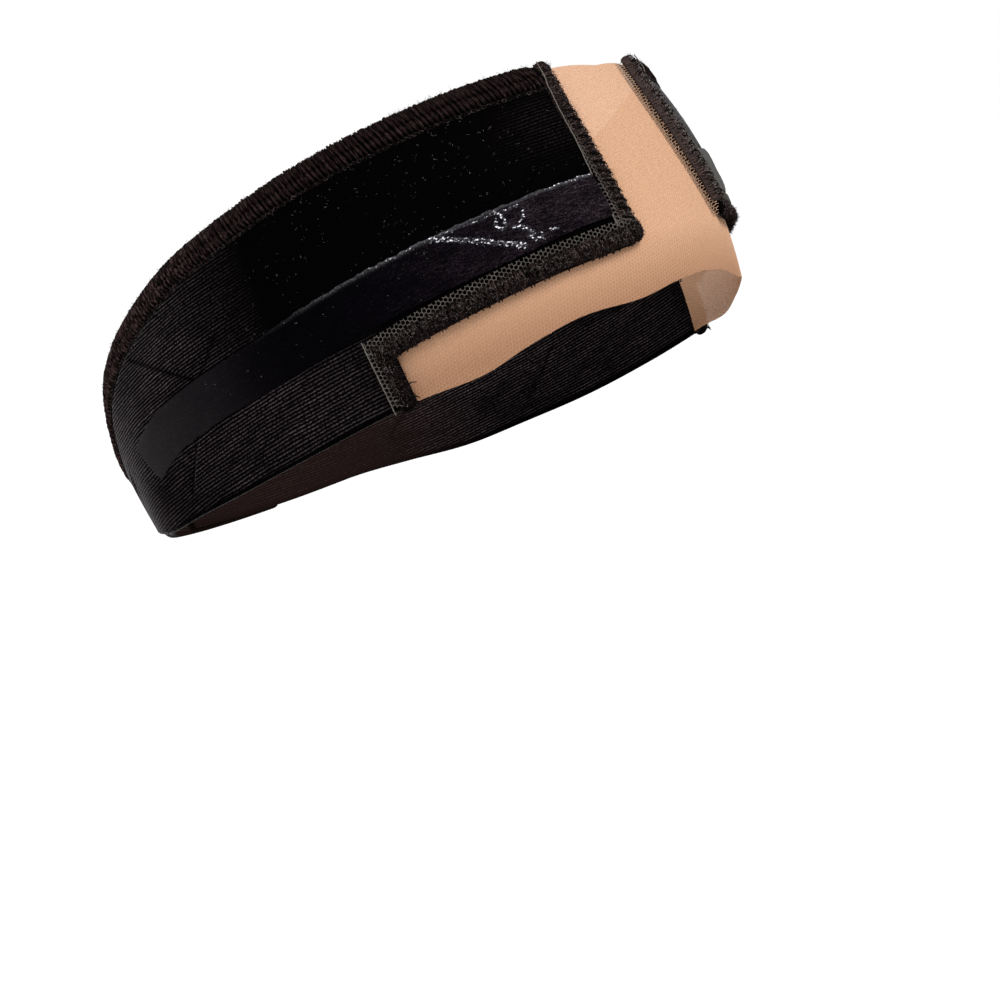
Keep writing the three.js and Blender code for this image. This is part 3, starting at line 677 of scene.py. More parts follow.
for label, side in SIDES.items():
    top = float(top_edge(front_turn(side, 0.034)))
    lengths = {
        "front": top - FRONT_LOW[side] - HEM_WIDTH - CLEARANCE,
        "lower": float(arc_at(STEP_TURN) - arc_at(front_turn(side, FRONT_LOW[side]))),
        "step": float(hem_line(side, STEP_TURN - 2) - CLEARANCE - bottom_edge(STEP_TURN - 2)),
    }
    for hem, place in hem_places.items():
        chance = np.random.default_rng(31 + side + len(hem))
        length = lengths[hem]
        rows = max(int(length / (0.8 * MM)), 6)
        run = np.linspace(0, length, rows + 1)[:, None]
        share = np.linspace(0, 1, 9)[None]
        turn, z = np.broadcast_arrays(*place(side, run, share))
        least, light = HEM_LIGHT[hem][side]
        outer = on_form(side, turn, z, VELVET_IN + swell(HEM_WALL, share) - 0.5 * MM)
        inner = on_form(side, turn, z, VELVET_IN + 0.15 * MM)
        shade = {"shade": np.full(z.shape, float(least))}
        base = shell(f"{hem}_hem_base_{label}", outer, inner, hem_base, shade)
        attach(base, "root")
        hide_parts(f"{hem}_hem_{label}")

        # Wrapping strands: dense on the lower and step hems, sparser and slanting up the front
        starts = np.arange(0.1 * MM, length, WRAP_PITCH[hem])
        strands = len(starts)
        reach = np.array([-0.16, 0.0, 0.18, 0.36, 0.54, 0.72, 0.88, 1.02, 0.85, 0.4, -0.05])
        inside = np.array([0, 0, 0, 0, 0, 0, 0, 0.5, 1, 1, 1])
        longer = chance.normal(0.02, 0.1, (strands, 1))
        reach = reach[None] * (1 + longer) + chance.normal(0, 0.03, (strands, 11))
        slant = chance.choice([-1.2, 1.3], (strands, 1)) * chance.uniform(0.2, 1.0, (strands, 1)) * MM
        run = np.clip(starts[:, None] + slant * reach, 0, length)
        turn, z = place(side, run, np.clip(reach, -0.2, 1.2))
        over = np.where(reach < 0, VELVET_OUT + 0.15 * MM, VELVET_IN + swell(HEM_WALL, reach) - 0.2 * MM)
        out = over * (1 - inside) + (VELVET_IN - 0.1 * MM) * inside + chance.normal(0, 0.07 * MM, turn.shape)
        shades = chance.choice([0.2, 0.5, 1.0], (strands, 1), p=[0.4, 0.3, 0.3]) * light
        shades = least + shades * (0.1 + 1.9 * chance.random(reach.shape) ** 3)
        wraps = sewn(f"{hem}_hem_threads_{label}", on_form(side, turn, z, out), WRAP_THREAD, hem_thread,
                     7 + side, waver=0.5 * MM, waver_scale=650, shades=shades)
        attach(wraps, "root")

        # Specks: short curled ends of lighter filament
        count = int(length * HEM_WIDTH / MM**2 * SPECKS[hem][side])
        run, share = chance.uniform(0.2 * MM, length, count), chance.uniform(0.02, 0.95, count)
        turn, z = place(side, run, share)
        grey = hem == "front" and side == LEFT
        out = VELVET_IN + swell(HEM_WALL, share) + (0.05 if grey else -0.02) * MM
        lengths_out = chance.triangular(0.15, 0.3, 0.8, count) * MM
        ends = hairs(side, turn, z, out, lengths_out, (0.0, 0.1, 0.0), chance)
        shades = chance.random(count) ** 1.2 if grey else 0.5 * chance.random(count) ** 1.5
        specks = sewn(f"{hem}_hem_specks_{label}", ends, SPECK_RADIUS, speck_thread, 8 + side, sides=3,
                      shades=shades)
        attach(specks, "root")

        # Tufts over the front end of the lower hem
        if hem == "lower":
            share, rise = chance.uniform(0, 1, TUFTS), chance.uniform(0, 1, TUFTS)
            turn, z = place(side, np.full(TUFTS, -0.05 * MM), share)
            out = VELVET_IN + rise * (swell(HEM_WALL, share) - 0.2 * MM)
            lengths_out = chance.uniform(0.2, 0.7, TUFTS) * MM
            ends = hairs(side, turn, z, out, lengths_out, (0.0, 0.2, -0.7), chance)
            tufts = sewn(f"lower_hem_tufts_{label}", ends, TUFT_RADIUS, speck_thread, 6 + side, sides=3,
                         shades=0.35 * chance.random(TUFTS) ** 2)
            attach(tufts, "root")

        # Fibres along the free edge
        count = int(length / MM * FIBRES_PER_MM[hem])
        run = chance.uniform(0, length, count)
        share = 1 - np.abs(chance.normal(0, 0.3, count))
        turn, z = place(side, run, np.clip(share, 0, 1))
        out = VELVET_IN + swell(HEM_WALL, share) - 0.1 * MM
        fibres = hairs(side, turn, z, out, chance.uniform(0.35, 1.0, count) * MM, HEM_LEAN[hem], chance)
        fuzz = sewn(f"{hem}_hem_fuzz_{label}", fibres, HEM_FIBRE, fluff, 9 + side, sides=3, taper=0.7)
        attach(fuzz, "root")

# Zigzag bars of thicker thread up the front hems, sewn over the wrapping.
# On the wearer's right they run singly; on the left they join into a close zigzag.
bar_thread = woolly("bar_thread", (0.002, 0.0016, 0.0016), (0.01, 0.008, 0.0075))
for label, side in SIDES.items():
    chance = np.random.default_rng(51 + side)
    length = float(top_edge(15)) - FRONT_LOW[side] - HEM_WIDTH
    bars = []
    top, pitch, strands = (0.72 * length, 2.3 * MM, 2) if side == RIGHT else (length, 1.9 * MM, 1)
    clear, radius, waver = np.array((0.12, 0.115, 0.2) if side == RIGHT else (0.34, 0.135, 0.45)) * MM
    for run in np.arange(1.0 * MM, top - 1.5 * MM, pitch):
        reach = chance.uniform(0.75, 1, 2)
        for strand in range(strands):
            shorter = reach[0] if side == LEFT else 1
            share = 0.5 + (np.linspace(0.1, 0.97, 7) - 0.5) * shorter + chance.normal(0, 0.02)
            rise = 1.5 * MM * (0.5 - share) + chance.normal(0, 0.12 * MM) + strand * 0.16 * MM
            turn, z = front_place(side, run + rise, share)
            out = VELVET_IN + swell(HEM_WALL, share) + clear + chance.normal(0, 0.04 * MM, 7)
            bars.append(on_form(side, turn, z, out))
        if side == LEFT and chance.random() < 0.8:
            share = 0.5 + (np.linspace(1.0, 0.1, 7) - 0.5) * reach[1]
            rise = 1.5 * MM * (0.5 - share) - (1 - share) * pitch + chance.normal(0, 0.2 * MM)
            turn, z = front_place(side, np.maximum(run + rise, 0), share)
            out = VELVET_IN + swell(HEM_WALL, share) + clear
            bars.append(on_form(side, turn, z, out))
    zigzag = sewn(f"zigzag_{label}", bars, radius, bar_thread, 13 + side, waver=waver)
    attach(zigzag, "root")

# The honeycomb net under the hems: a grey net tape that the raw edges are wrapped together with.
# It shows through the wrapping, and two or three rows of its cells stand clear beside it.
NET_PITCH = 1.02 * MM
NET_THREAD = 0.115 * MM
NET_WIDTH = 2.1 * MM
ON_VELVET = 3.4 * MM
NET_OUT = ON_VELVET + 0.22 * MM
NET_SUNK = 0.3 * MM
SELVAGE_THREAD = 0.13 * MM
STRIP_WIDTH = 8 * MM
net_finish = woolly("honeycomb_net", (0.05, 0.044, 0.039), (0.2, 0.178, 0.155), 0.7)


def honeycomb(length, width, pitch, inside, turned=0.0):
    """Threads of a honeycomb as pairs of (along, across) ends; cut ends that stick out are trimmed short."""
    cell_side = pitch / math.sqrt(3)
    reach = math.hypot(length, width)
    edges = []
    rows, columns = int(reach / (1.5 * cell_side)) + 2, int(reach / pitch) + 2
    for row in range(-rows, rows + 1):
        y = row * 1.5 * cell_side
        x = np.arange(-columns, columns + 1) * pitch + (row % 2) * pitch / 2
        top = np.stack([x, np.full_like(x, y + cell_side)], -1)
        right = np.stack([x + pitch / 2, np.full_like(x, y + cell_side / 2)], -1)
        below = np.stack([x + pitch / 2, np.full_like(x, y - cell_side / 2)], -1)
        left = np.stack([x - pitch / 2, np.full_like(x, y + cell_side / 2)], -1)
        edges += [np.stack([top, right], 1), np.stack([right, below], 1), np.stack([top, left], 1)]
    c, s = math.cos(math.radians(turned)), math.sin(math.radians(turned))
    edges = np.concatenate(edges) @ np.array([[c, s], [-s, c]])
    middle = edges.mean(1)
    edges = edges[inside(middle[:, 0], middle[:, 1])]
    knots = np.round(edges.reshape(-1, 2) / (0.1 * cell_side)).astype(int)
    _, which, held = np.unique(knots, axis=0, return_inverse=True, return_counts=True)
    free = (held[which.ravel()] == 1).reshape(-1, 2)
    for end in (0, 1):
        short = edges[:, 1 - end] + (edges[:, end] - edges[:, 1 - end]) * 0.45
        edges[:, end] = np.where(free[:, end, None], short, edges[:, end])
    return edges


def beside_wraps(side, turn, z, past, sunk=NET_SUNK):
    """Net threads on the velvet where they lie past a hem, and sunk into its wrapping where they don't."""
    under_wrap = VELVET_IN + swell(HEM_WALL, -past / HEM_WIDTH) - sunk
    return [*on_form(side, turn, z, np.where(past > 0, NET_OUT, under_wrap))]


for label, side in SIDES.items():
    hem_top = HEM_WIDTH + CLEARANCE
    begin = float(arc_at(front_turn(side, FRONT_LOW[side]))) + 0.3 * MM
    length = float(arc_at(STEP_TURN)) + 1.9 * MM - begin
    strip = honeycomb(length, STRIP_WIDTH, NET_PITCH, lambda a, b: (a > 0) & (a < length)
                      & (b > HEM_WIDTH - 1.3 * MM) & (b < hem_top + NET_WIDTH - 0.1 * MM), turned=90)
    turn = turn_at(begin + strip[..., 0])
    paths = beside_wraps(side, turn, hem_line(side, turn) + strip[..., 1], strip[..., 1] - HEM_WIDTH)

    # Up the front it lies under the wrapping and narrows to its selvage thread
    height = float(top_edge(16)) - FRONT_LOW[side] - hem_top - 1 * MM
    clear = np.array([[0, 12, 22, 34, 50], [1.5, 1.3, 0.35, -0.1, -0.1]]) * MM
    under = np.array([[0, 26, 34, 36], [-1.4, -0.8, 0.3, 9]]) * MM
    strip = honeycomb(height, STRIP_WIDTH, NET_PITCH, lambda a, b: (a > 0) & (a < height)
                      & (b > np.interp(a, *under)) & (b < np.interp(a, *clear)))
    z = FRONT_LOW[side] + hem_top + strip[..., 0]
    turn = turn_past(hem_turn(side, z), strip[..., 1] + 0.1 * MM)
    paths += beside_wraps(side, turn, z, strip[..., 1], 0.24 * MM)

    # Down the step
    step_top, step_foot = float(hem_line(side, STEP_TURN)) + hem_top, float(bottom_edge(STEP_TURN))
    depth = step_top - step_foot - 0.8 * MM
    strip = honeycomb(depth, STRIP_WIDTH, NET_PITCH, lambda a, b: (a > 0) & (a < depth)
                      & (b > -1.6 * MM) & (b < 1.4 * MM) & ((a > hem_top) | (b > 0)))
    turn = turn_past(STEP_TURN, strip[..., 1])
    paths += beside_wraps(side, turn, step_top - strip[..., 0], strip[..., 1])
    net = sewn(f"net_{label}", paths, NET_THREAD, net_finish, 15 + side, sides=4, waver=0.16 * MM)
    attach(net, "root")
    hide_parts(f"net_tape_{label}")

    # Its selvage threads: up the front over the roll's end, and straight down the step
    z = np.linspace(float(top_edge(17)) - 0.2 * MM, FRONT_LOW[side] + hem_top, 60)
    edge = np.interp(z - FRONT_LOW[side] - hem_top, *clear) + 0.25 * MM
    over_roll = np.clip((z - float(roll_line(17))) / (1.5 * MM), 0, 1)
    out = ON_VELVET + 0.2 * MM + over_roll * 0.75 * MM
    front_line = on_form(side, turn_past(hem_turn(side, z), edge), z, out)
    z = np.linspace(step_top + NET_WIDTH, step_foot - 0.5 * MM, 30)
    step_line = on_form(side, turn_past(STEP_TURN, 1.5 * MM), z, NET_OUT)
    lines = sewn(f"net_lines_{label}", [front_line, step_line], SELVAGE_THREAD, net_finish, 17 + side,
                 sides=6, waver=0.35 * MM, shades=np.array([1.3, 1.2]))
    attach(lines, "root")

# Loose thread ends at the outer foot of each step, where the overlocking was cut off
# Each by its height over the foot, its length and how far it droops, in millimetres
LOOSE_ENDS = ((4.2, 2.3, -0.2), (1.4, 1.6, -0.8), (0.5, 1.9, -1.6), (-0.1, 2.3, -1.5), (0.9, 1.2, 0.2))
stubs = []
for side in SIDES.values():
    chance = np.random.default_rng(71 + side)
    foot = float(bottom_edge(STEP_TURN - 2))
    for height, length, droop in LOOSE_ENDS:
        run = np.linspace(0, 1, 6)
        z = foot + (height + droop * run + 0.3 * np.sin(run * 3)) * MM
        arc = float(arc_at(STEP_TURN)) - HEM_WIDTH - run * length * MM
        out = VELVET_IN + (1.2 + 0.3 * run + chance.uniform(-0.4, 0.6)) * MM
        stubs.append(on_form(side, turn_at(arc), z, out))
thread_ends = sewn("thread_ends", stubs, 0.17 * MM, bar_thread, 19, taper=0.3, waver=0.4 * MM)
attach(thread_ends, "root")

# The grip tapes: a dark glossy film 12 mm wide, heat-pressed along each side band.
# It clings to the knit below, stands off in one fold near the front, and its upper edge is crinkled.
TAPE_TOP, TAPE_WIDTH = 5 * MM, 12 * MM
TAPE_END_TURN, TAPE_END_SLANT = 116.5, 3.5
TAPE_FILM = 0.55 * MM
NET_FRONT_WIDTH = 1.4 * MM
TAPE_FOLD = {RIGHT: 0.6 * MM, LEFT: 0.2 * MM}
# Rows along the tape by turn: how far its top sinks, its width share, its fold,
# how grey it is and how thickly it is speckled
TAPE_SINK_ROWS = [(16, 0), (60, 0), (80, 0.28), (92, 0.24), (104, 0.3), (112, 0.62), (120, 1)]
TAPE_WIDTH_ROWS = [(16, 0.88), (26, 0.88), (33, 0.94), (40, 0.98), (47, 0.99), (56, 1), (75, 0.98),
                   (120, 0.88)]
TAPE_FOLD_ROWS = [(16, 0), (26, 0.05), (33, 1), (40, 0.45), (47, 0.1), (56, 0), (75, 0), (120, 0)]
TAPE_GREY_ROWS = [(16, 0.14), (24, 0.05), (34, 0.04), (46, 0.02), (60, 0), (80, 0.04), (92, 0.35),
                  (104, 0.65), (118, 1)]
TAPE_SPECK_ROWS = [(16, 0.8), (24, 0.9), (34, 0.7), (46, 0.35), (60, 0.08), (80, 0.06), (92, 0.2),
                   (118, 0.25)]
RIM_GLINT_ROWS = [(16, 0.8), (22, 0.9), (27, 0.7), (34, 0.3), (46, 0.35), (52, 0.75), (58, 0.6), (66, 0.1),
                  (120, 0)]
# Wrinkles pressed into the film: points as (turn, height in mm), rise and width in mm, and their glint
WRINKLES = [
    ([(48.6, 5.2), (46.9, 4.2), (41.1, -0.1), (39.0, -2.0), (34.9, -5.1)], 0.4, 0.42, 1.0),
    ([(48.2, 4.4), (46.6, 3.4), (41.0, -0.9), (38.8, -2.8), (35.4, -5.4)], 0.3, 0.38, 0.9),
    ([(46.7, 4.9), (42.9, 4.4), (41.2, 4.1), (39.5, 3.9), (37.6, 4.5)], 0.35, 0.45, 0.65),
    ([(37.6, 4.4), (36.9, 3.5), (36.7, 1.9), (36.9, 0.5), (37.8, 0.2), (38.3, 1.6), (37.9, 2.8)],
     0.4, 0.45, 1.0),
    ([(36.4, 3.7), (35.2, 3.7), (33.7, 3.8)], 0.35, 0.45, 0.9),
    ([(33.4, 2.4), (33.9, 1.0), (34.5, 0.3)], 0.3, 0.4, 0.9),
    ([(36.1, -0.4), (34.9, -0.8), (34.2, -1.8), (33.3, -3.2)], 0.35, 0.5, 0.95),
    ([(34.4, -3.3), (33.6, -4.6), (32.4, -5.0), (32.2, -3.8)], 0.35, 0.55, 0.9),
    ([(30.8, -3.8), (30.0, -4.0), (29.2, -4.4)], 0.25, 0.35, 1.0),
    ([(70, 1), (78, -1.5)], 0.1, 1.2, 0.0),
    ([(88, -1), (93, -6)], 0.12, 1.0, 0.0),
    ([(98, 3), (103, -6)], 0.1, 1.2, 0.0),
]
film = finish("grip_film", (0.003, 0.003, 0.005), 0.4, specular_ior_level=0.004)
nodes = Nodes(film.node_tree)
cloth = nodes.field("cloth", "Vector")
glint = nodes.field("glint")
grey = nodes.field("grey")
specked = nodes.field("specked")
rim = nodes.field("rim")
grain = nodes.noise(cloth, (2100, 2600, 1), 3, 0.8)
blotch = nodes.noise(cloth, (120, 260, 1), 3, 0.6)
facets = nodes.noise(cloth, (1300, 2100, 1), 1, 0.6)
caught = nodes.plus(facets, nodes.times(glint, 0.24))
sparks = nodes.times(nodes.ramp(caught, (0.77, 0.0), (0.83, 1.0)),
                     nodes.ramp(glint, (0.0, 0.12), (0.3, 1.0)))
shimmer = nodes.times(nodes.ramp(caught, (0.58, 0.0), (0.8, 1.0)), nodes.times(glint, 0.3))
streaks = nodes.noise(cloth, (420, 3000, 1), 2, 0.7)
knit_below = nodes.times(nodes.ramp(streaks, (0.4, 0.1), (0.62, 1.0)),
                         nodes.ramp(blotch, (0.3, 0.15), (0.66, 1.0)))
speckle = nodes.times(nodes.ramp(grain, (0.42, 0.0), (0.64, 1.0)), knit_below)
plain_film = nodes.mix(grey, (0.0008, 0.0006, 0.0014), (0.0185, 0.0162, 0.0172))
# Painted sheen: on the wearer's left the film is paler towards the front, as at a grazing angle, mottled by
# the grain.
film_sheen_mottle = nodes.times(nodes.field("pale"), nodes.ramp(grain, (0.36, 0.35), (0.62, 1.0)))
paled = nodes.mix(film_sheen_mottle, plain_film, (0.13, 0.126, 0.12))
speckled = nodes.mix(nodes.times(speckle, specked), paled, (0.085, 0.058, 0.074))
# Painted highlight: the crinkled top rim is drawn lighter grey, broken up by the grain.
rim_highlight = nodes.times(rim, nodes.ramp(grain, (0.4, 0.1), (0.62, 1.0)))
edged = nodes.mix(rim_highlight, speckled, (0.12, 0.12, 0.13))
bright = nodes.mix(shimmer, edged, (0.3, 0.3, 0.34))
nodes.feed(base_color=nodes.mix(sparks, bright, (0.95, 0.95, 1.0)),
           normal=nodes.bump(nodes.plus(grain, nodes.times(blotch, 0.8)), 0.8, 0.2 * MM))

for label, side in SIDES.items():
    begin = turn_past(hem_turn(side, 0), NET_FRONT_WIDTH + CLEARANCE)
    split = float((60 - begin) / (TAPE_END_TURN - begin))
    fine = FINENESS[side]
    crinkled, flat = np.linspace(0, split, int(190 * fine)), np.linspace(split, 1, int(120 * fine))[1:]
    along = np.concatenate([crinkled, flat])[:, None]
    share = np.linspace(0, 1, int(41 * fine))[None]
    nominal = begin + along * (TAPE_END_TURN - begin)
    upper = TAPE_TOP * (1 - follow(TAPE_SINK_ROWS, nominal)) + hem_lift(side, nominal)
    z = upper - (1 - share) * TAPE_WIDTH * follow(TAPE_WIDTH_ROWS, nominal)
    start = turn_past(hem_turn(side, z), NET_FRONT_WIDTH + CLEARANCE)
    stop = TAPE_END_TURN + TAPE_END_SLANT * z / TAPE_TOP * 0.5
    turn = start + along * (stop - start)
    whole = np.broadcast_to(share, z.shape)
    fold = TAPE_FOLD[side] * follow(TAPE_FOLD_ROWS, turn) * np.sqrt(np.clip(1 - (2 * whole - 1) ** 2, 0, 1))
    chance = np.random.default_rng(81 + side)
    crests = np.arange(0, 0.2, 1.1 * MM)
    crinkle = np.interp(arc_at(turn), crests, chance.uniform(-1, 1, len(crests)))
    wavy_rim = np.exp(-(((1 - whole) * TAPE_WIDTH / (1.0 * MM)) ** 2)) * np.clip((turn - 16) / 2, 0, 1)
    wavy_rim = wavy_rim * np.clip((86 - turn) / 20, 0, 1)
    z = z + wavy_rim * crinkle * 0.24 * MM
    rise = wavy_rim * np.abs(crinkle) * 0.2 * MM
    glints = wavy_rim**3 * follow(RIM_GLINT_ROWS, turn)
    for points, high, wide, shine in WRINKLES:
        ridge = np.zeros_like(z)
        for start, end in zip(points[:-1], points[1:]):
            _, away = from_line(turn, z - hem_lift(side, turn), start, end)
            ridge = np.maximum(ridge, np.exp(-((away / (wide * MM)) ** 2)))
        rise = rise + ridge * high * MM * (1 if side == RIGHT else 0.5)
        glints = np.maximum(glints, ridge * shine)
    sag = 0.06 * MM * np.sin(arc_at(turn) / (4 * MM)) * np.sin(whole * 9)
    pressed = 0.22 * MM * (1 - np.sqrt(np.clip(1 - (2 * whole - 1) ** 4, 0, 1)))
    outer = on_form(side, turn, z, ON_VELVET + TAPE_FILM + fold + rise + sag - 1.8 * pressed)
    inner = on_form(side, turn, z, ON_VELVET + fold + rise * 0.9 + sag - pressed)
    fields = {"cloth": cloth_field(turn, z), "glint": glints, "grey": follow(TAPE_GREY_ROWS, turn),
              # Painted highlight along the crinkled top rim.
              "specked": follow(TAPE_SPECK_ROWS, turn), "rim": wavy_rim**3 * 0.7,
              # Painted sheen on the wearer's left, towards the front.
              "pale": (side == LEFT) * np.clip((50 - turn) / 25, 0, 1)}
    tape = shell(f"tape_{label}", outer, inner, film, fields)
    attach(tape, "root")
    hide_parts(f"grip_tape_{label}")

# Lint caught in the pile and on the film, as velvet picks it up in handling.
# It is short curved fibres, a few of them longer, that lie along the cloth.
LINT_COUNT = 300
LINT_FIBRE = 0.026 * MM
lint_finish = woolly("lint", (0.05, 0.05, 0.052), (0.45, 0.45, 0.47))
for label, side in SIDES.items():
    chance = np.random.default_rng(91 + side)
    turn = chance.triangular(19, 42, 96, LINT_COUNT)
    low, high = hem_line(side, turn) + HEM_WIDTH + 3 * MM, roll_line(turn) - 1.2 * MM
    z = low + (high - low) * chance.beta(1.6, 1.1, LINT_COUNT)
    on_tape = np.abs(z - hem_lift(side, turn) - TAPE_TOP + TAPE_WIDTH / 2) < TAPE_WIDTH / 2
    out = np.where(on_tape, ON_VELVET + TAPE_FILM + 0.04 * MM, VELVET_OUT + 0.03 * MM)
    out = out + on_tape * TAPE_FOLD[side] * follow(TAPE_FOLD_ROWS, turn)
    ways = chance.uniform(0, 2 * math.pi, LINT_COUNT)
    longer = chance.random(LINT_COUNT) < 0.07
    reach = chance.triangular(0.08, 0.14, 0.5, LINT_COUNT) * MM * (1 + 1.2 * longer)
    curl = chance.normal(0, 0.45, LINT_COUNT) * (1 + 1.5 * longer)
    fibres = []
    for step in np.linspace(-1, 1, 6):
        angle = ways + curl * step
        arc = arc_at(turn) + reach * step * np.cos(angle)
        rise = z + reach * step * np.sin(angle)
        fibres.append(on_form(side, turn_at(arc), rise, out + 0.1 * MM * (1 - step**2)))
    lint = sewn(f"lint_{label}", list(np.stack(fibres, 1)), LINT_FIBRE, lint_finish, 23 + side, sides=3,
                shades=chance.uniform(0, 1, LINT_COUNT) ** 2.5)
    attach(lint, "root")

# The lace front: a flesh-coloured hexagonal net, taut between the side bands and tucked under their hems.
# A finer haze of filaments fills its holes; both lie in one thickness of cloth.
LACE_PITCH = 0.92 * MM
LACE_TUCK = 9 * MM
SEEN_TUCK = 2.5 * MM
LACE_HEIGHT = 40 * MM
LACE_TURNED = 14
LACE_OUT = 0.6 * MM
LACE_THREAD = 0.08 * MM
LATTICE_PITCH = 0.8 * MM
LATTICE_THREAD = 0.07 * MM
LACE_COLUMNS, LACE_ROWS = 260, 66
lace_thread = woolly("lace_thread", (0.52, 0.29, 0.175), (0.97, 0.65, 0.45), 0.7)
haze = finish("lace_haze", (0.72, 0.44, 0.28), 0.8, alpha=0.72, specular_ior_level=0.05)
nodes = Nodes(haze.node_tree)
cloth = nodes.field("cloth", "Vector")
hem_shadow = nodes.field("hem_shadow")
filaments = nodes.noise(cloth, (900, 2600, 1), 3, 0.7, 25)
tone = nodes.mix(nodes.ramp(filaments, (0.3, 0.0), (0.7, 1.0)), (0.63, 0.365, 0.22), (0.76, 0.45, 0.278))
# Painted shade: the haze is darker towards the lower edge.
low = nodes.field("low")
shaded = nodes.mix(low, tone, (0.42, 0.225, 0.13))
# Painted shadow: beside the wearer's left hem the haze is near black, as the hem's shadow under the lace.
nodes.feed(base_color=nodes.mix(hem_shadow, shaded, (0.012, 0.008, 0.006)),
           normal=nodes.bump(filaments, 0.4, 0.1 * MM))


def lace_covers(side, turn, z, tuck):
    """Whether the lace reaches a place: the whole front, and a strip below the hems with its tuck."""
    front = turn < turn_past(front_turn(side, z), tuck)
    under_hem = z < hem_line(side, turn) + HEM_WIDTH
    return (z > bottom_edge(turn)) & (z < top_edge(turn)) & (turn < STEP_TURN - 0.3) & (front | under_hem)


def from_middle(along, z, out):
    """A point of the lace by its distance from the middle, plus to the wearer's left."""
    turn = turn_at(arc_at(0) + np.abs(along))
    return np.where((along < 0)[..., None], on_form(RIGHT, turn, z, out), on_form(LEFT, turn, z, out))


def on_lace(along, z, tuck=LACE_TUCK):
    turn = turn_at(arc_at(0) + np.abs(along))
    return np.where(along < 0, lace_covers(RIGHT, turn, z, tuck), lace_covers(LEFT, turn, z, tuck))


def in_sight(along, z):
    """Its threads are drawn only a little way under the hems."""
    return on_lace(along, z, SEEN_TUCK)


half = float(arc_at(STEP_TURN) - arc_at(0))
threads = honeycomb(half, LACE_HEIGHT, LACE_PITCH, in_sight, LACE_TURNED)
# Painted shade: the threads are darker towards the lower edge, as the haze is.
lit = np.clip((threads[..., 1].mean(1) + 26 * MM) / (15 * MM), 0.15, 1)
lit = lit * np.random.default_rng(101).uniform(0.85, 1.15, len(threads))


def beside_hem(along, z):
    """Distance from the free edge of the wearer's left hem towards the middle, in millimetres."""
    return (arc_at(front_turn(LEFT, z)) - arc_at(0) - along) / MM


def at_hem(along, z):
    beside = beside_hem(along, z)
    upright = (z > FRONT_LOW[LEFT]) & (z < top_edge(turn_at(arc_at(0) + along)))
    return (along > 0) & (beside > -0.4) & (beside < 3.2) & upright


middle = threads.mean(1)
plain = ~at_hem(middle[:, 0], middle[:, 1])
net_paths = from_middle(threads[plain, :, 0], threads[plain, :, 1], LACE_OUT)
lace_net = sewn("lace_net", [*net_paths], LACE_THREAD, lace_thread, 21, sides=3, waver=0.08 * MM,
                shades=lit[plain])
# Beside the wearer's left hem finer threads stand out on a painted shadow of the hem, and climb the hem's
# edge
strip = honeycomb(half, LACE_HEIGHT, LATTICE_PITCH, at_hem, LACE_TURNED)
climb = np.interp(beside_hem(strip[..., 0], strip[..., 1]), [-0.5, 0, 0.5, 0.9], [2.5, 1.9, 1.1, 0.7]) * MM
lattice_paths = from_middle(strip[..., 0], strip[..., 1], climb)
lattice = sewn("lace_lattice", [*lattice_paths], LATTICE_THREAD, lace_thread, 22, sides=3, waver=0.08 * MM,
               shades=np.random.default_rng(102).uniform(0.7, 1.1, len(strip)))
for net in (lace_net, lattice):
    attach(net, "root")
    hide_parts("lace_front")

along = np.linspace(-half, half, LACE_COLUMNS)[:, None]
share = np.linspace(0, 1, LACE_ROWS)[None]
turn = turn_at(arc_at(0) + np.abs(along))
z = bottom_edge(turn) + share * (top_edge(turn) - bottom_edge(turn))
along, turn = np.broadcast_to(along, z.shape), np.broadcast_to(turn, z.shape)
inner = z + np.where(share < 0.5, 0.02, -0.02) * MM
covered = on_lace(along * 0.999, inner)
keep = covered[:-1, :-1] & covered[1:, 1:] & covered[1:, :-1] & covered[:-1, 1:]
# Painted shadow of the wearer's left hem, a strip about 3 mm wide beside its free edge.
hem_shadow = (along > 0) * np.clip((3.3 - beside_hem(along, z)) / 0.6, 0, 1) * np.clip(z / MM + 10.4, 0, 1)
fields = {"cloth": np.stack([along, z, np.zeros_like(z)], -1), "hem_shadow": hem_shadow,
          "low": np.clip((-11 * MM - z) / (13 * MM), 0, 1)}
haze_out, haze_in = (from_middle(along, z, LACE_OUT + d * MM) for d in (0.02, -0.04))
lace = shell("lace", haze_out, haze_in, haze, fields, keep)
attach(lace, "root")
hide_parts("lace_front")

# The closure at the nape: a black hook-and-loop patch sewn between the overlapping ends.
# It is hidden when worn, and stays fastened.
HOOK_MARGIN = 2.5 * MM
HOOK_WALL = 1.2 * MM
hook_finish = finish("hook_and_loop", (0.006, 0.006, 0.006), 0.7, specular_ior_level=0.2)
nodes = Nodes(hook_finish.node_tree)
cloth = nodes.field("cloth", "Vector")
hooks = nodes.add("TexVoronoi", None, Vector=cloth, Scale=1100.0)
distance = hooks.outputs["Distance"]
nodes.feed(base_color=nodes.ramp(distance, (0.1, 0.02), (0.6, 0.002)),
           normal=nodes.bump(distance, 0.8, 0.4 * MM))
edge = turn_past(REAR_TURN, -HOOK_MARGIN) - 180
turn = np.linspace(180 - edge, 180 + edge, 30)[:, None]
low, high = bottom_edge(turn) + 0.9 * MM + HOOK_MARGIN, roll_line(turn) - HOOK_MARGIN
z = low + np.linspace(0, 1, 14)[None] * (high - low)
turn = np.broadcast_to(turn, z.shape)
outer, inner = on_form(RIGHT, turn, z, ON_VELVET + HOOK_WALL), on_form(RIGHT, turn, z, ON_VELVET)
patch = shell("hook_field", outer, inner, hook_finish, {"cloth": cloth_field(turn, z)})
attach(patch, "root")
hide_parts("hook_patch")

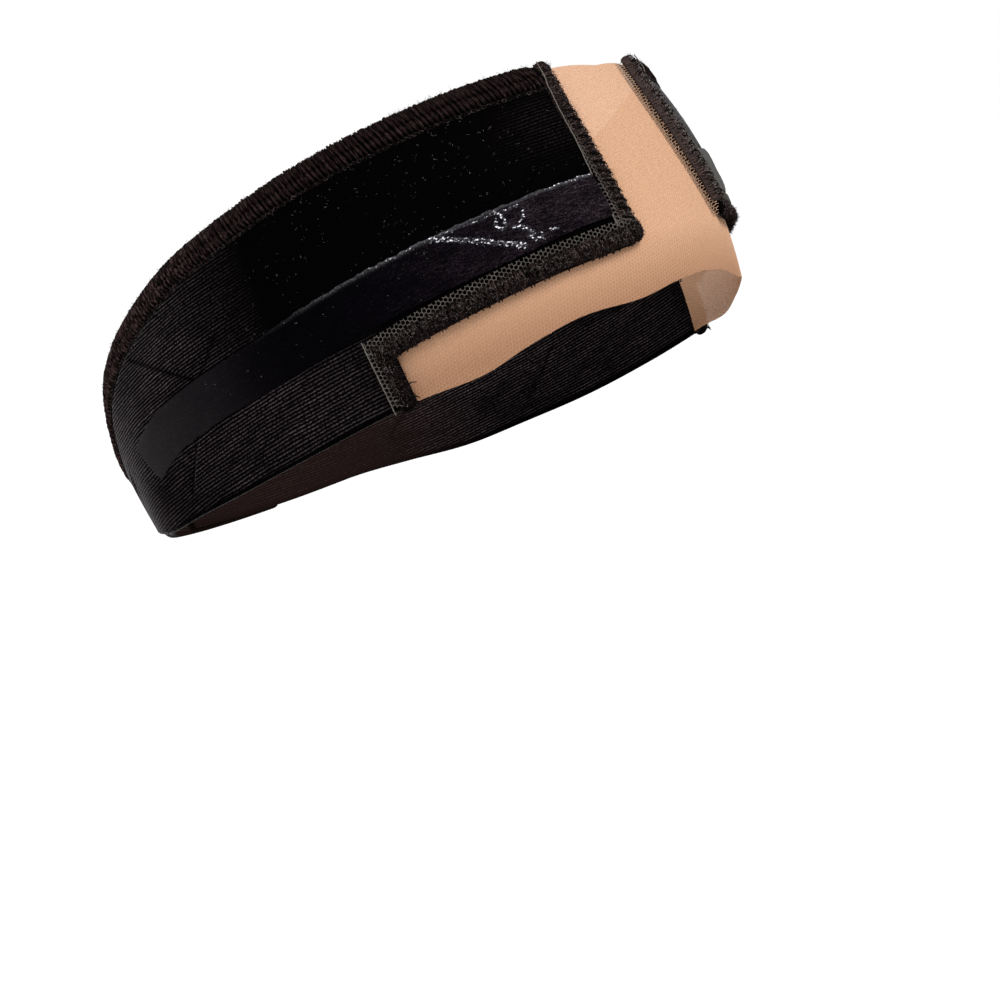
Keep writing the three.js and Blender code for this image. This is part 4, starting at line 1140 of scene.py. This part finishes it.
# Setting: a plain pale floor well below the band, a white studio round it, and soft light from above.
# The floor lies so far below that the band's shadow on it stays out of the picture.
FLOOR_HALF, FLOOR_Z = 6, -0.45
STUDIO_LIGHT = 0.38
floor_mesh = bpy.data.meshes.new("floor")
corners = [(x * FLOOR_HALF, y * FLOOR_HALF, FLOOR_Z) for x, y in ((-1, -1), (1, -1), (1, 1), (-1, 1))]
floor_mesh.from_pydata(corners, [], [(0, 1, 2, 3)])
floor = bpy.data.objects.new("floor", floor_mesh)
bpy.context.collection.objects.link(floor)
floor_mesh.materials.append(finish("pale_floor", (0.95, 0.95, 0.95), 0.95, specular_ior_level=0.0))

world = bpy.data.worlds.new("studio")
world.use_nodes = True
bpy.context.scene.world = world
bpy.context.scene.view_settings.view_transform = "Standard"
studio = world.node_tree
background = studio.nodes["Background"]
background.inputs["Color"].default_value = (1, 1, 1, 1)
seen = studio.nodes.new("ShaderNodeLightPath").outputs["Is Camera Ray"]
level = studio.nodes.new("ShaderNodeMapRange")
level.inputs["To Min"].default_value = STUDIO_LIGHT
level.inputs["To Max"].default_value = 1.0
studio.links.new(seen, level.inputs["Value"])
studio.links.new(level.outputs["Result"], background.inputs["Strength"])


def soft_sun(name, azimuth, elevation, power, spread):
    """Even light from one side of the studio, as from a large far window."""
    light = bpy.data.lights.new(name, "SUN")
    light.energy = power
    light.angle = math.radians(spread)
    lamp = bpy.data.objects.new(name, light)
    lamp.rotation_euler = (math.radians(90 - elevation), 0, math.radians(azimuth))
    bpy.context.collection.objects.link(lamp)


soft_sun("key", azimuth=-15, elevation=58, power=2.6, spread=25)
soft_sun("fill", azimuth=-75, elevation=25, power=0.5, spread=40)

# The camera stands at the photograph's angle, a little to the wearer's right and above.
# Its shifts move the band up and to the left of the picture's middle.
azimuth, elevation, away = math.radians(-52.78), math.radians(15), 516.69 * MM
shift_across, shift_down = 22.29 * MM, 42.54 * MM
flat = math.cos(elevation)
back = np.array([math.sin(azimuth) * flat, -math.cos(azimuth) * flat, math.sin(elevation)])
across = np.array([math.cos(azimuth), math.sin(azimuth), 0])
above = np.cross(back, across)
lens = bpy.data.cameras.new("camera")
lens.sensor_width = 36
lens.lens = 69.32
lens.clip_start = 0.01
camera = bpy.data.objects.new("camera", lens)
camera.location = back * away + across * shift_across - above * shift_down
camera.rotation_euler = (math.pi / 2 - elevation, 0, azimuth)
bpy.context.collection.objects.link(camera)
bpy.context.scene.camera = camera
